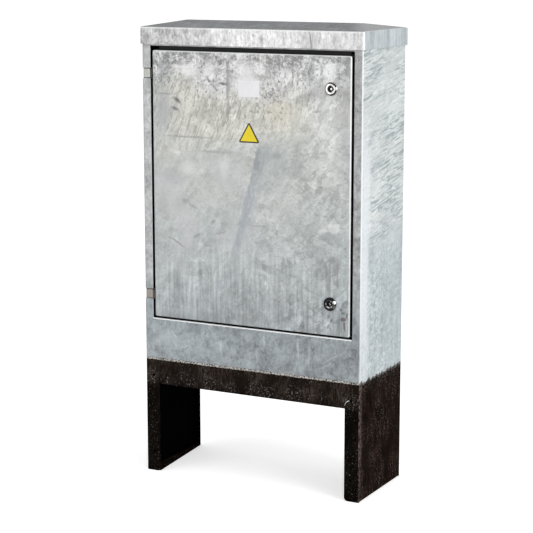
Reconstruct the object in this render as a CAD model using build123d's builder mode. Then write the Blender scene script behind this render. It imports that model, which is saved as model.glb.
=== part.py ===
from build123d import *
import math
import os

os.makedirs("parts", exist_ok=True)

# Free-standing feeder pillar, in millimetres, +Z up, with the door facing -Y.
# The origin is on the ground, under the middle of the cabinet.

# Cabinet sheet
body_width = 600.0
body_depth = 250.0
sheet = 2.0
bend_inside = 2.0
cut_overrun = 5.0

# Heights, stacked from the ground and down from the eaves
leg_height = 231.0
fascia_height = 172.0
eave_height = 1134.0
head_height = 47.0

# Roof tray
roof_overhang = 4.0
roof_skirt = 42.0
roof_rise = 14.0
ridge_inset = 62.0
ridge_width = 6.0
roof_seat_gap = 0.3

# Side sheets, with their stiles, legs and feet
stile_width = 23.0
rear_flange = 15.0
leg_flange = 40.0
leg_tab_rise = 22.0
leg_tab_round_share = 0.95
leg_toe_radius = 10.0
leg_hole_radius = 4.5
leg_hole_inset = 24.5
leg_hole_height = 52.0
relief_radius = 4.0
foot_inset = 2.0

# Fascia and back panel
seam_gap = 1.0
fascia_return = 20.0
back_return = 20.0
back_side_gap = 1.0

# Door tray
door_gap_side = 6.0
door_gap_top = 9.5
door_gap_bottom = 4.5
door_return = 16.0
door_corner_radius = 5.0
stiffener_crown = 30.0
stiffener_flange = 14.0
stiffener_depth = 10.0
stiffener_end_gap = 70.0

# Door seal, on stop lips that reach a little past it
seal_width = 10.0
seal_thickness = 2.7
seal_edge_gap = 0.5
seal_clear = 0.3
lip_margin = 2.0

# Hinges
hinge_end_inset = 57.0
hinge_height = 24.0
hinge_barrel_radius = 8.0
hinge_strap = 4.0
hinge_notch_play = 1.0
hinge_seat_gap = 0.3
pin_radius = 4.0
pin_clear = 0.05
pin_head_radius = 5.5
pin_head_height = 3.0
lug_height = 12.0
lug_wall = 3.0

# Quarter-turn locks
lock_inset = 51.6
lock_end_inset = 78.0
bezel_radius = 16.5
bezel_proud = 4.0
bezel_round = 2.0
mouth_radius = 12.5
mouth_depth = 2.0
lock_barrel_radius = 11.0
lock_hole_clear = 0.25
rotor_radius = 10.0
rotor_clear = 0.05
rotor_face_depth = 2.2
rotor_head = 7.0
rotor_shaft_radius = 6.0
key_ring_radius = 6.0
key_pin_radius = 2.6
key_depth = 4.5
key_wing_span = 15.0
key_wing_width = 3.2
tail_square = 8.0
cam_gap = 0.5
cam_thickness = 3.0
cam_hub_radius = 12.0
cam_width = 18.0
cam_corner_radius = 5.0
cam_overlap = 10.0
cam_hole_clear = 0.05
cam_screw_radius = 2.9
cam_screw_clear = 0.1
cam_screw_length = 8.0
cam_washer_radius = 8.0
cam_washer_thickness = 1.5
cam_screw_flats = 10.0
cam_screw_head = 4.0
lock_nut_flats = 27.0
lock_nut_thickness = 5.0
lock_nut_clear = 0.1

# Bare plates on the door
label_width = 57.0
label_height = 39.0
label_thickness = 0.4
label_corner_radius = 2.0
label_drop = 86.0
sign_side = 58.0
sign_thickness = 0.8
sign_corner_radius = 3.0
sign_drop = 199.0

# Mounting board on two channels
channel_height = 40.0
channel_depth = 20.0
channel_end_gap = 38.0
board_thickness = 12.0
board_side_gap = 58.0
board_end_gap = 40.0
board_corner_radius = 6.0
board_bolt_radius = 4.0
board_bolt_clear = 0.2
board_bolt_side_inset = 30.0
board_bolt_end_inset = 60.0
board_bolt_flats = 13.0
board_bolt_head = 5.5
board_washer_radius = 9.0
board_washer_thickness = 1.6
board_bolt_tail = 8.0

# Rail that the switchgear clips on
din_width = 35.0
din_depth = 7.5
din_base = 27.0
din_wall = 1.0
din_end_gap = 60.0
din_drop = 190.0

# Switch and breakers
device_height = 85.0
device_base_depth = 46.0
device_nose_height = 45.0
device_nose_depth = 18.0
device_round = 1.0
device_gap = 0.4
switch_width = 72.0
switch_toggle_width = 44.0
breaker_width = 18.0
breaker_toggle_width = 9.0
breaker_count = 3
toggle_inset = 3.0
toggle_radius = 6.5
toggle_reach = 16.0
toggle_thickness = 5.0
toggle_tilt = 35.0
toggle_play = 0.3
toggle_slot_height = 18.0

# Neutral and earth bars
bar_length = 186.0
bar_height = 12.0
bar_thickness = 9.0
bar_screws = 9
bar_pitch = 20.0
bar_first_drop = 110.0
bar_spacing = 70.0
bar_post_radius = 7.0
bar_post_length = 22.0
bar_screw_radius = 2.5
bar_screw_clear = 0.1
bar_screw_head_radius = 4.2
bar_screw_head = 3.0

# Cable rail under the door sill
cable_rail_height = 40.0
cable_rail_depth = 21.0
cable_rail_set_back = 165.0
cable_rail_drop = 75.0
clamp_hole_radius = 4.5
clamp_hole_count = 11
clamp_hole_end_inset = 50.0

# Earth studs
stud_radius = 4.0
stud_length = 26.0
stud_washer_radius = 9.0
stud_washer_thickness = 1.6
stud_nut_flats = 13.0
stud_nut = 6.5
body_stud_set_back = 85.0
body_stud_drop = 75.0
door_stud_side_inset = 60.0
door_stud_end_inset = 50.0

# Places worked out from the sizes above
half_width = body_width / 2
front = -body_depth / 2
rear = body_depth / 2
bend_outside = bend_inside + sheet
opening_half = half_width - stile_width
opening_bottom = leg_height + fascia_height
opening_top = eave_height - head_height
door_half = opening_half - door_gap_side
door_bottom = opening_bottom + door_gap_bottom
door_top = opening_top - door_gap_top
door_middle = (door_bottom + door_top) / 2
frame_depth = door_return + seal_clear + seal_thickness + sheet
lip_front = front + frame_depth - sheet
seal_outside = min(door_gap_side, door_gap_top, door_gap_bottom) - bend_inside - seal_edge_gap
lip_cover = seal_width - seal_outside + lip_margin
lip_side = door_gap_side + lip_cover
lip_top = door_gap_top + lip_cover
lip_bottom = door_gap_bottom + lip_cover
leg_tab_top = leg_height + leg_tab_rise
leg_tab_radius = leg_tab_round_share * (leg_flange - stile_width)
back_inner = rear - 2 * sheet
roof_width = body_width + 2 * roof_overhang
roof_depth = body_depth + 2 * roof_overhang
ridge_length = roof_width - 2 * ridge_inset
ceiling_run = max((roof_depth - ridge_width) / 2 - sheet, ridge_inset - sheet)
ceiling_rise = roof_rise * (roof_overhang - sheet) / ceiling_run
wall_top = eave_height - sheet + ceiling_rise - roof_seat_gap

front_plane = Plane.XZ.offset(-front)


def save(builder, name):
    """Label a finished piece and write it as its own file."""
    builder.part.label = name
    export_step(builder.part, f"parts/{name}.step")


def folded(points, radii, side):
    """Section of one folded sheet: a face path with rounded bends, thickened to one side."""
    with BuildSketch() as section:
        with BuildLine():
            FilletPolyline(*points, radius=radii)
            offset(amount=sheet, side=side)
        make_face()
    return section.sketch


# Left leg: web and two flanges, from the ground to the top of its front tab
web_points = [(-half_width + rear_flange, rear), (-half_width, rear), (-half_width, front)]
leg_points = web_points + [(-half_width + leg_flange, front)]
foot_width = leg_flange - foot_inset
foot_points = [(-half_width, 2 * bend_outside), (-half_width, 0), (-half_width + foot_width, 0)]
foot_length = body_depth - 2 * bend_outside

with BuildPart() as left_leg:
    with BuildSketch():
        add(folded(leg_points, [bend_outside, bend_outside], Side.LEFT))
    extrude(amount=leg_tab_top)
    fillet(left_leg.edges().filter_by(Axis.Y).group_by(Axis.X)[-1].sort_by(Axis.Z)[0], leg_toe_radius)
    fillet(left_leg.edges().filter_by(Axis.Y).group_by(Axis.X)[-1].sort_by(Axis.Z)[-1], leg_tab_radius)
    # turned-in foot, its free edge running straight from the front flange to the narrower rear one
    with Locations((-half_width, 0, 0)):
        Box(2 * bend_outside, foot_length, 4 * bend_outside, mode=Mode.SUBTRACT)
    with BuildSketch(Plane.XZ):
        add(folded(foot_points, [bend_outside], Side.LEFT))
    extrude(amount=foot_length / 2, both=True)
    with BuildSketch():
        with BuildLine():
            Polyline(
                (-half_width + foot_width, front),
                (-half_width + foot_width, rear - bend_outside),
                (-half_width + rear_flange, rear - bend_outside),
                close=True,
            )
        make_face()
    extrude(amount=sheet, mode=Mode.SUBTRACT)
    # round hole in the leg, and its half of the relief at the end of the seam over it
    with BuildSketch(front_plane):
        with Locations((-half_width + leg_hole_inset, leg_hole_height)):
            Circle(leg_hole_radius)
        with Locations((-opening_half, leg_tab_top)):
            Circle(relief_radius)
    extrude(amount=-cut_overrun, mode=Mode.SUBTRACT)
save(left_leg, "left_leg")

with BuildPart() as right_leg:
    add(mirror(left_leg.part, about=Plane.YZ))
save(right_leg, "right_leg")

# Left side sheet, going on up from the leg: plain stile, door frame, plain stile again
stile_points = web_points + [(-opening_half, front)]
frame_points = stile_points + [(-opening_half, lip_front), (-opening_half + lip_side, lip_front)]

with BuildPart() as side_blank:
    for bottom, top in ((leg_tab_top, opening_bottom), (opening_top, wall_top)):
        with BuildSketch(Plane.XY.offset(bottom)):
            add(folded(stile_points, [bend_outside, bend_outside], Side.LEFT))
        extrude(amount=top - bottom)
    with BuildSketch(Plane.XY.offset(opening_bottom)):
        add(folded(frame_points, [bend_outside, bend_outside, bend_outside, bend_inside], Side.LEFT))
    extrude(amount=opening_top - opening_bottom)
    with BuildSketch(front_plane):
        with Locations((-opening_half, leg_tab_top)):
            Circle(relief_radius)
    extrude(amount=-cut_overrun, mode=Mode.SUBTRACT)

hinge_places = {"upper": door_top - hinge_end_inset, "lower": door_bottom + hinge_end_inset}
hinge_x = -half_width + hinge_barrel_radius
hinge_y = front + hinge_barrel_radius
notch_height = hinge_height + 2 * hinge_notch_play
notch_depth = 2 * hinge_barrel_radius + hinge_notch_play

with BuildPart() as left_side:
    add(side_blank.part)
    with Locations(*[(-half_width - cut_overrun, front - cut_overrun, z) for z in hinge_places.values()]):
        Box(
            stile_width + 2 * cut_overrun,
            notch_depth + cut_overrun,
            notch_height,
            align=(Align.MIN, Align.MIN, Align.CENTER),
            mode=Mode.SUBTRACT,
        )
save(left_side, "left_side")

with BuildPart() as right_side:
    add(mirror(side_blank.part, about=Plane.YZ))
save(right_side, "right_side")

# Back panel, lapped inside the rear flanges, with its bottom edge turned in
back_face = rear - sheet
back_points = [(back_face, wall_top), (back_face, leg_height), (back_face - back_return, leg_height)]
back_half = half_width - bend_outside - back_side_gap

with BuildPart() as back_panel:
    with BuildSketch(Plane.YZ):
        add(folded(back_points, [bend_outside], Side.RIGHT))
    extrude(amount=back_half, both=True)
save(back_panel, "back_panel")

# Fascia under the door: bottom return, face, sill and stop lip in one sheet
fascia_points = [
    (front + fascia_return, leg_height),
    (front, leg_height),
    (front, opening_bottom),
    (lip_front, opening_bottom),
    (lip_front, opening_bottom + lip_bottom),
]
lip_end = opening_half - lip_side
seam_inner = half_width - leg_flange - seam_gap
seam_top = leg_tab_top + seam_gap

with BuildPart() as front_fascia:
    with BuildSketch(Plane.YZ):
        add(folded(fascia_points, [bend_outside, bend_outside, bend_inside], Side.RIGHT))
    extrude(amount=opening_half, both=True)
    with BuildSketch(front_plane) as trims:
        with Locations((seam_inner, seam_top)):
            Rectangle(leg_flange, seam_top, align=(Align.MIN, Align.MAX))
        fillet(trims.vertices().group_by(Axis.Y)[-1].sort_by(Axis.X)[0], leg_tab_radius + seam_gap)
        with Locations((lip_end, opening_bottom)):
            Rectangle(lip_side + cut_overrun, 2 * lip_bottom, align=(Align.MIN, Align.MIN))
        with Locations((opening_half, leg_tab_top)):
            Circle(relief_radius)
        mirror(about=Plane.YZ)
    extrude(amount=-(frame_depth + cut_overrun), mode=Mode.SUBTRACT)
save(front_fascia, "front_fascia")

# Head rail over the door
head_points = [
    (front, wall_top),
    (front, opening_top),
    (lip_front, opening_top),
    (lip_front, opening_top - lip_top),
]

with BuildPart() as head_rail:
    with BuildSketch(Plane.YZ):
        add(folded(head_points, [bend_outside, bend_inside], Side.LEFT))
    extrude(amount=opening_half, both=True)
    with BuildSketch(front_plane):
        with Locations((lip_end, opening_top)):
            Rectangle(lip_side + cut_overrun, 2 * lip_top, align=(Align.MIN, Align.MAX))
        mirror(about=Plane.YZ)
    extrude(amount=-(frame_depth + cut_overrun), mode=Mode.SUBTRACT)
save(head_rail, "head_rail")

# Roof: a hipped tray with a skirt all round, hollowed by the same form one sheet lower
with BuildPart() as roof_canopy:
    with BuildSketch(Plane.XY.offset(eave_height - roof_skirt)):
        Rectangle(roof_width, roof_depth)
    extrude(amount=roof_skirt)
    with BuildSketch(Plane.XY.offset(eave_height)):
        Rectangle(roof_width, roof_depth)
    with BuildSketch(Plane.XY.offset(eave_height + roof_rise)):
        Rectangle(ridge_length, ridge_width)
    loft(ruled=True)
    fillet(roof_canopy.edges().group_by(Axis.Z)[1:-1], bend_outside)
    with BuildSketch(Plane.XY.offset(eave_height - sheet)):
        Rectangle(roof_width - 2 * sheet, roof_depth - 2 * sheet)
    extrude(amount=-roof_skirt, mode=Mode.SUBTRACT)
    with BuildSketch(Plane.XY.offset(eave_height - sheet)):
        Rectangle(roof_width - 2 * sheet, roof_depth - 2 * sheet)
    with BuildSketch(Plane.XY.offset(eave_height - sheet + roof_rise)):
        Rectangle(ridge_length, ridge_width)
    loft(ruled=True, mode=Mode.SUBTRACT)
save(roof_canopy, "roof_canopy")

# Rubber seal on the stop lips, just clear of the closed door's edge
seal_outer_width = 2 * (door_half + seal_outside)
seal_outer_height = door_top - door_bottom + 2 * seal_outside

with BuildPart() as door_seal:
    with BuildSketch(Plane.XZ.offset(-lip_front)):
        with Locations((0, door_middle)):
            RectangleRounded(seal_outer_width, seal_outer_height, door_corner_radius + seal_outside)
            Rectangle(
                seal_outer_width - 2 * seal_width,
                seal_outer_height - 2 * seal_width,
                mode=Mode.SUBTRACT,
            )
    extrude(amount=seal_thickness)
save(door_seal, "door_seal")

# Hinges in the left front corner: leaf on the door, lugs and pin on the cabinet
lug_side = hinge_barrel_radius - sheet + pin_radius + lug_wall
lug_offset = hinge_height / 2 + hinge_seat_gap

for place, hinge_z in hinge_places.items():
    with BuildPart() as hinge_leaf:
        with BuildSketch(Plane.XY.offset(hinge_z - hinge_height / 2)):
            with Locations((hinge_x, hinge_y)):
                Circle(hinge_barrel_radius)
            with Locations((hinge_x, front)):
                Rectangle(-door_half - hinge_x, hinge_strap, align=(Align.MIN, Align.MIN))
            with Locations((-door_half, front)):
                Rectangle(hinge_strap, door_return, align=(Align.MAX, Align.MIN))
            with Locations((hinge_x, hinge_y)):
                Circle(pin_radius + pin_clear, mode=Mode.SUBTRACT)
        extrude(amount=hinge_height)
    save(hinge_leaf, f"{place}_hinge_leaf")

    lug_bases = (hinge_z - lug_offset - lug_height, hinge_z + lug_offset)
    with BuildPart() as hinge_lugs:
        for base in lug_bases:
            with BuildSketch(Plane.XY.offset(base)) as lug_plan:
                with Locations((-half_width + sheet, front + sheet)):
                    Rectangle(lug_side, lug_side, align=(Align.MIN, Align.MIN))
                chamfer(lug_plan.vertices().group_by(Axis.X)[0].sort_by(Axis.Y)[0], bend_inside)
                with Locations((hinge_x, hinge_y)):
                    Circle(pin_radius + pin_clear, mode=Mode.SUBTRACT)
            extrude(amount=lug_height)
    save(hinge_lugs, f"{place}_hinge_lugs")

    with BuildPart() as hinge_pin:
        with BuildSketch(Plane.XY.offset(lug_bases[0])):
            with Locations((hinge_x, hinge_y)):
                Circle(pin_radius)
        extrude(amount=lug_bases[1] + lug_height - lug_bases[0])
        with BuildSketch(Plane.XY.offset(lug_bases[1] + lug_height)):
            with Locations((hinge_x, hinge_y)):
                Circle(pin_head_radius)
        extrude(amount=pin_head_height)
    save(hinge_pin, f"{place}_hinge_pin")

# Door: a folded tray with two lock holes
lock_x = door_half - lock_inset
lock_places = {"upper": door_top - lock_end_inset, "lower": door_bottom + lock_end_inset}

with BuildPart() as door_panel:
    with BuildSketch(front_plane):
        with Locations((0, door_middle)):
            RectangleRounded(2 * door_half, door_top - door_bottom, door_corner_radius)
    extrude(amount=-door_return)
    fillet(door_panel.faces().sort_by(Axis.Y)[0].edges(), bend_outside)
    offset(amount=-sheet, openings=door_panel.faces().sort_by(Axis.Y)[-1])
    with BuildSketch(front_plane):
        with Locations(*[(lock_x, z) for z in lock_places.values()]):
            Circle(lock_barrel_radius + lock_hole_clear)
    extrude(amount=-cut_overrun, mode=Mode.SUBTRACT)
save(door_panel, "door_panel")

# Hat section welded upright on the inside of the door
door_inside = front + sheet
stiffener_points = [
    (-stiffener_crown / 2 - stiffener_flange, door_inside),
    (-stiffener_crown / 2, door_inside),
    (-stiffener_crown / 2, door_inside + stiffener_depth),
    (stiffener_crown / 2, door_inside + stiffener_depth),
    (stiffener_crown / 2, door_inside),
    (stiffener_crown / 2 + stiffener_flange, door_inside),
]

with BuildPart() as door_stiffener:
    with BuildSketch(Plane.XY.offset(door_bottom + stiffener_end_gap)):
        add(folded(stiffener_points, [bend_outside, bend_inside, bend_inside, bend_outside], Side.LEFT))
    extrude(amount=door_top - door_bottom - 2 * stiffener_end_gap)
save(door_stiffener, "door_stiffener")

# Locks, each in section about its own axis: across is the radius, up is the depth into the door
barrel_length = frame_depth
rotor_front = rotor_face_depth - bezel_proud
rotor_seat = rotor_front + rotor_head
cam_depth = barrel_length + cam_gap
cam_reach = lip_end - lock_x + cam_overlap
tail_end = cam_depth + cam_thickness

for place, lock_z in lock_places.items():
    section_plane = Plane(origin=(lock_x, front, lock_z), x_dir=(1, 0, 0), z_dir=(0, 0, 1))
    outer_plane = Plane(origin=(lock_x, front, lock_z), x_dir=(1, 0, 0), z_dir=(0, -1, 0))
    inner_plane = Plane(origin=(lock_x, front, lock_z), x_dir=(1, 0, 0), z_dir=(0, 1, 0))
    lock_axis = Axis((lock_x, front, lock_z), (0, 1, 0))

    with BuildPart() as lock_body:
        with BuildSketch(section_plane) as body_section:
            with BuildLine():
                Polyline(
                    (rotor_shaft_radius + rotor_clear, barrel_length),
                    (lock_barrel_radius, barrel_length),
                    (lock_barrel_radius, 0),
                    (bezel_radius, 0),
                    (bezel_radius, -bezel_proud),
                    (mouth_radius, -bezel_proud),
                    (rotor_radius + rotor_clear, mouth_depth - bezel_proud),
                    (rotor_radius + rotor_clear, rotor_seat + rotor_clear),
                    (rotor_shaft_radius + rotor_clear, rotor_seat + rotor_clear),
                    close=True,
                )
            make_face()
            fillet(body_section.vertices().group_by(Axis.Y)[0].sort_by(Axis.X)[-1], bezel_round)
        revolve(axis=lock_axis)
    save(lock_body, f"{place}_lock_body")

    with BuildPart() as lock_nut:
        with BuildSketch(inner_plane.offset(sheet)):
            RegularPolygon(lock_nut_flats / 2, 6, major_radius=False)
            Circle(lock_barrel_radius + lock_nut_clear, mode=Mode.SUBTRACT)
        extrude(amount=lock_nut_thickness)
    save(lock_nut, f"{place}_lock_nut")

    with BuildPart() as lock_rotor:
        with BuildSketch(section_plane):
            with BuildLine():
                Polyline(
                    (0, rotor_front),
                    (rotor_radius, rotor_front),
                    (rotor_radius, rotor_seat),
                    (rotor_shaft_radius, rotor_seat),
                    (rotor_shaft_radius, cam_depth),
                    (0, cam_depth),
                    close=True,
                )
            make_face()
        revolve(axis=lock_axis)
        with BuildSketch(inner_plane.offset(cam_depth)):
            Rectangle(tail_square, tail_square)
        extrude(amount=cam_thickness)
        with BuildSketch(outer_plane.offset(-rotor_front)):
            Circle(key_ring_radius)
            Rectangle(key_wing_span, key_wing_width)
            Circle(key_pin_radius, mode=Mode.SUBTRACT)
        extrude(amount=-key_depth, mode=Mode.SUBTRACT)
        with BuildSketch(inner_plane.offset(tail_end)):
            Circle(cam_screw_radius + cam_screw_clear)
        extrude(amount=-cam_screw_length, mode=Mode.SUBTRACT)
    save(lock_rotor, f"{place}_lock_rotor")

    # at rest the cam hangs straight down, clear of the frame
    with BuildPart() as lock_cam:
        with BuildSketch(inner_plane.offset(cam_depth)) as cam_outline:
            Rectangle(cam_width, cam_reach, align=(Align.CENTER, Align.MIN))
            fillet(cam_outline.vertices().group_by(Axis.Y)[-1], cam_corner_radius)
            Circle(cam_hub_radius)
            Rectangle(tail_square + 2 * cam_hole_clear, tail_square + 2 * cam_hole_clear, mode=Mode.SUBTRACT)
        extrude(amount=cam_thickness)
    save(lock_cam, f"{place}_lock_cam")

    with BuildPart() as lock_cam_screw:
        with BuildSketch(inner_plane.offset(tail_end)):
            Circle(cam_washer_radius)
        extrude(amount=cam_washer_thickness)
        with BuildSketch(inner_plane.offset(tail_end + cam_washer_thickness)):
            RegularPolygon(cam_screw_flats / 2, 6, major_radius=False)
        extrude(amount=cam_screw_head)
        with BuildSketch(inner_plane.offset(tail_end)):
            Circle(cam_screw_radius)
        extrude(amount=-cam_screw_length)
    save(lock_cam_screw, f"{place}_lock_cam_screw")

# Bare plates on the door's face
with BuildPart() as label_plate:
    with BuildSketch(front_plane):
        with Locations((0, door_top - label_drop)):
            RectangleRounded(label_width, label_height, label_corner_radius)
    extrude(amount=label_thickness)
save(label_plate, "label_plate")

with BuildPart() as sign_plate:
    with BuildSketch(front_plane) as sign_outline:
        with Locations((0, door_top - sign_drop)):
            RegularPolygon(sign_side / math.sqrt(3), 3, rotation=90)
        fillet(sign_outline.vertices(), sign_corner_radius)
    extrude(amount=sign_thickness)
save(sign_plate, "sign_plate")

# Channels on the back panel, with the mounting board bolted across them
board_half = half_width - sheet - board_side_gap
board_bottom = opening_bottom + board_end_gap
board_top = opening_top - board_end_gap
board_middle = (board_bottom + board_top) / 2
board_back = back_inner - channel_depth
board_face = board_back - board_thickness
channel_half = half_width - sheet - channel_end_gap
channel_places = {"upper": board_top - board_bolt_end_inset, "lower": board_bottom + board_bolt_end_inset}
bolt_x = board_half - board_bolt_side_inset
bolt_spots = [(x, z) for x in (-bolt_x, bolt_x) for z in channel_places.values()]
board_plane = Plane.XZ.offset(-board_face)
bolt_hole_radius = board_bolt_radius + board_bolt_clear

for place, channel_z in channel_places.items():
    channel_points = [
        (back_inner, channel_z - channel_height / 2),
        (board_back, channel_z - channel_height / 2),
        (board_back, channel_z + channel_height / 2),
        (back_inner, channel_z + channel_height / 2),
    ]
    with BuildPart() as board_channel:
        with BuildSketch(Plane.YZ):
            add(folded(channel_points, [bend_outside, bend_outside], Side.RIGHT))
        extrude(amount=channel_half, both=True)
        with BuildSketch(Plane.XZ.offset(-board_back)):
            with Locations((-bolt_x, channel_z), (bolt_x, channel_z)):
                Circle(bolt_hole_radius)
        extrude(amount=-cut_overrun, mode=Mode.SUBTRACT)
    save(board_channel, f"{place}_board_channel")

with BuildPart() as mounting_board:
    with BuildSketch(board_plane):
        with Locations((0, board_middle)):
            RectangleRounded(2 * board_half, board_top - board_bottom, board_corner_radius)
        with Locations(*bolt_spots):
            Circle(bolt_hole_radius, mode=Mode.SUBTRACT)
    extrude(amount=-board_thickness)
save(mounting_board, "mounting_board")

with BuildPart() as board_bolts:
    with BuildSketch(board_plane):
        with Locations(*bolt_spots):
            Circle(board_bolt_radius)
    extrude(amount=-(board_thickness + sheet + board_bolt_tail))
    with BuildSketch(board_plane):
        with Locations(*bolt_spots):
            Circle(board_washer_radius)
    extrude(amount=board_washer_thickness)
    with BuildSketch(board_plane.offset(board_washer_thickness)):
        with Locations(*bolt_spots):
            RegularPolygon(board_bolt_flats / 2, 6, major_radius=False)
    extrude(amount=board_bolt_head)
save(board_bolts, "board_bolts")

# Top-hat rail on the board
din_z = board_top - din_drop
din_front = board_face - din_depth
din_lip = (din_width - din_base) / 2 + din_wall

with BuildPart() as din_rail:
    with BuildSketch(Plane.YZ) as din_section:
        with Locations((board_face, din_z)):
            Rectangle(din_wall, din_base, align=(Align.MAX, Align.CENTER))
        with Locations((board_face, din_z + din_base / 2)):
            Rectangle(din_depth, din_wall, align=(Align.MAX, Align.MAX))
        with Locations((board_face, din_z - din_base / 2)):
            Rectangle(din_depth, din_wall, align=(Align.MAX, Align.MIN))
        with Locations((din_front, din_z + din_width / 2)):
            Rectangle(din_wall, din_lip, align=(Align.MIN, Align.MAX))
        with Locations((din_front, din_z - din_width / 2)):
            Rectangle(din_wall, din_lip, align=(Align.MIN, Align.MIN))
    extrude(amount=board_half - din_end_gap, both=True)
save(din_rail, "din_rail")

# Switchgear side by side on the rail, each with a tilting toggle in its nose
device_names = ["main_switch"] + [f"breaker_{number + 1}" for number in range(breaker_count)]
row_width = switch_width + breaker_count * (breaker_width + device_gap)
base_front = din_front - device_base_depth
nose_front = base_front - device_nose_depth
pivot_y = nose_front + toggle_inset
slot_depth = toggle_inset + toggle_radius + toggle_play
device_left = -row_width / 2

for name in device_names:
    device_width = switch_width if name == "main_switch" else breaker_width
    toggle_width = switch_toggle_width if name == "main_switch" else breaker_toggle_width
    device_x = device_left + device_width / 2
    device_left = device_left + device_width + device_gap

    with BuildPart() as device:
        with BuildSketch(Plane.YZ.offset(device_x)) as device_section:
            with Locations((din_front, din_z)):
                Rectangle(device_base_depth, device_height, align=(Align.MAX, Align.CENTER))
            with Locations((base_front, din_z)):
                Rectangle(device_nose_depth, device_nose_height, align=(Align.MAX, Align.CENTER))
            fillet(device_section.vertices().group_by(Axis.X)[0], device_round)
        extrude(amount=device_width / 2, both=True)
        with Locations((device_x, nose_front, din_z)):
            Box(
                toggle_width + 2 * toggle_play,
                2 * slot_depth,
                toggle_slot_height,
                mode=Mode.SUBTRACT,
            )
    save(device, name)

    with BuildPart() as toggle:
        with BuildSketch(Plane.YZ.offset(device_x)):
            with Locations(Location((pivot_y, din_z), toggle_tilt)):
                Circle(toggle_radius)
                Rectangle(toggle_reach, toggle_thickness, align=(Align.MAX, Align.CENTER))
        extrude(amount=toggle_width / 2, both=True)
    save(toggle, f"{name}_toggle")

# Neutral and earth bars on posts, with a row of terminal screws each
bar_back = board_face - bar_post_length
bar_front = bar_back - bar_thickness
bar_span = (bar_screws - 1) * bar_pitch
bar_places = {
    "neutral": din_z - device_height / 2 - bar_first_drop,
    "earth": din_z - device_height / 2 - bar_first_drop - bar_spacing,
}

for kind, bar_z in bar_places.items():
    with BuildPart() as bar:
        with BuildSketch(Plane.XZ.offset(-bar_front)):
            with Locations((0, bar_z)):
                Rectangle(bar_length, bar_height)
                with GridLocations(bar_pitch, 0, bar_screws, 1):
                    Circle(bar_screw_radius + bar_screw_clear, mode=Mode.SUBTRACT)
        extrude(amount=-bar_thickness)
    save(bar, f"{kind}_bar")

    with BuildPart() as bar_posts:
        with BuildSketch(board_plane):
            with Locations((0, bar_z)):
                with GridLocations(bar_span, 0, 2, 1):
                    Circle(bar_post_radius)
        extrude(amount=bar_post_length)
    save(bar_posts, f"{kind}_bar_posts")

    with BuildPart() as bar_screw_row:
        with BuildSketch(Plane.XZ.offset(-bar_front)):
            with Locations((0, bar_z)):
                with GridLocations(bar_pitch, 0, bar_screws, 1):
                    Circle(bar_screw_head_radius)
        extrude(amount=bar_screw_head)
        with BuildSketch(Plane.XZ.offset(-bar_front)):
            with Locations((0, bar_z)):
                with GridLocations(bar_pitch, 0, bar_screws, 1):
                    Circle(bar_screw_radius)
        extrude(amount=-bar_thickness / 2)
    save(bar_screw_row, f"{kind}_bar_screws")

# Channel across the cable space, from side to side, drilled for cable clamps
cable_front = front + cable_rail_set_back
cable_back = cable_front + cable_rail_depth
cable_z = opening_bottom - cable_rail_drop
clamp_hole_pitch = 2 * (half_width - clamp_hole_end_inset) / (clamp_hole_count - 1)
cable_points = [
    (cable_front, cable_z - cable_rail_height / 2),
    (cable_back, cable_z - cable_rail_height / 2),
    (cable_back, cable_z + cable_rail_height / 2),
    (cable_front, cable_z + cable_rail_height / 2),
]

with BuildPart() as cable_rail:
    with BuildSketch(Plane.YZ):
        add(folded(cable_points, [bend_outside, bend_outside], Side.LEFT))
    extrude(amount=half_width - sheet, both=True)
    with BuildSketch(Plane.XZ.offset(-cable_back)):
        with Locations((0, cable_z)):
            with GridLocations(clamp_hole_pitch, 0, clamp_hole_count, 1):
                Circle(clamp_hole_radius)
    extrude(amount=cut_overrun, mode=Mode.SUBTRACT)
save(cable_rail, "cable_rail")

# Earth studs, each with its washer and nut
stud_planes = {
    "body_earth_stud": Plane(
        origin=(-half_width + sheet, front + body_stud_set_back, opening_bottom - body_stud_drop),
        x_dir=(0, 1, 0),
        z_dir=(1, 0, 0),
    ),
    "door_earth_stud": Plane(
        origin=(-door_half + door_stud_side_inset, door_inside, door_bottom + door_stud_end_inset),
        x_dir=(1, 0, 0),
        z_dir=(0, 1, 0),
    ),
}

for name, stud_plane in stud_planes.items():
    with BuildPart() as earth_stud:
        with BuildSketch(stud_plane):
            Circle(stud_radius)
        extrude(amount=stud_length)
        with BuildSketch(stud_plane):
            Circle(stud_washer_radius)
        extrude(amount=stud_washer_thickness)
        with BuildSketch(stud_plane.offset(stud_washer_thickness)):
            RegularPolygon(stud_nut_flats / 2, 6, major_radius=False)
        extrude(amount=stud_nut)
    save(earth_stud, name)
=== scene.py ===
import math

import bpy
import numpy as np
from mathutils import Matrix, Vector


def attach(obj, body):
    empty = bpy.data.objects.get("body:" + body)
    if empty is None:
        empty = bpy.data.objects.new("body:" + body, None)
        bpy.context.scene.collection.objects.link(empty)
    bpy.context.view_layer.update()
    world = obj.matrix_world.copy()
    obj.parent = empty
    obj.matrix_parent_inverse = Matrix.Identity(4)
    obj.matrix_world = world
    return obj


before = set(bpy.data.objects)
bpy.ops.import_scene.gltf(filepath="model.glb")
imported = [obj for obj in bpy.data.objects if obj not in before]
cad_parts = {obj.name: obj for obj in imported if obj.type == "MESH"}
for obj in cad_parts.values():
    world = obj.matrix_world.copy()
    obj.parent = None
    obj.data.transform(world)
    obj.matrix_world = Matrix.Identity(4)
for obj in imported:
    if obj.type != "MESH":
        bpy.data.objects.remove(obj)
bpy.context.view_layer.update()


def grey(value):
    """Linear colour without a hue."""
    return (value, value, value, 1)


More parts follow.
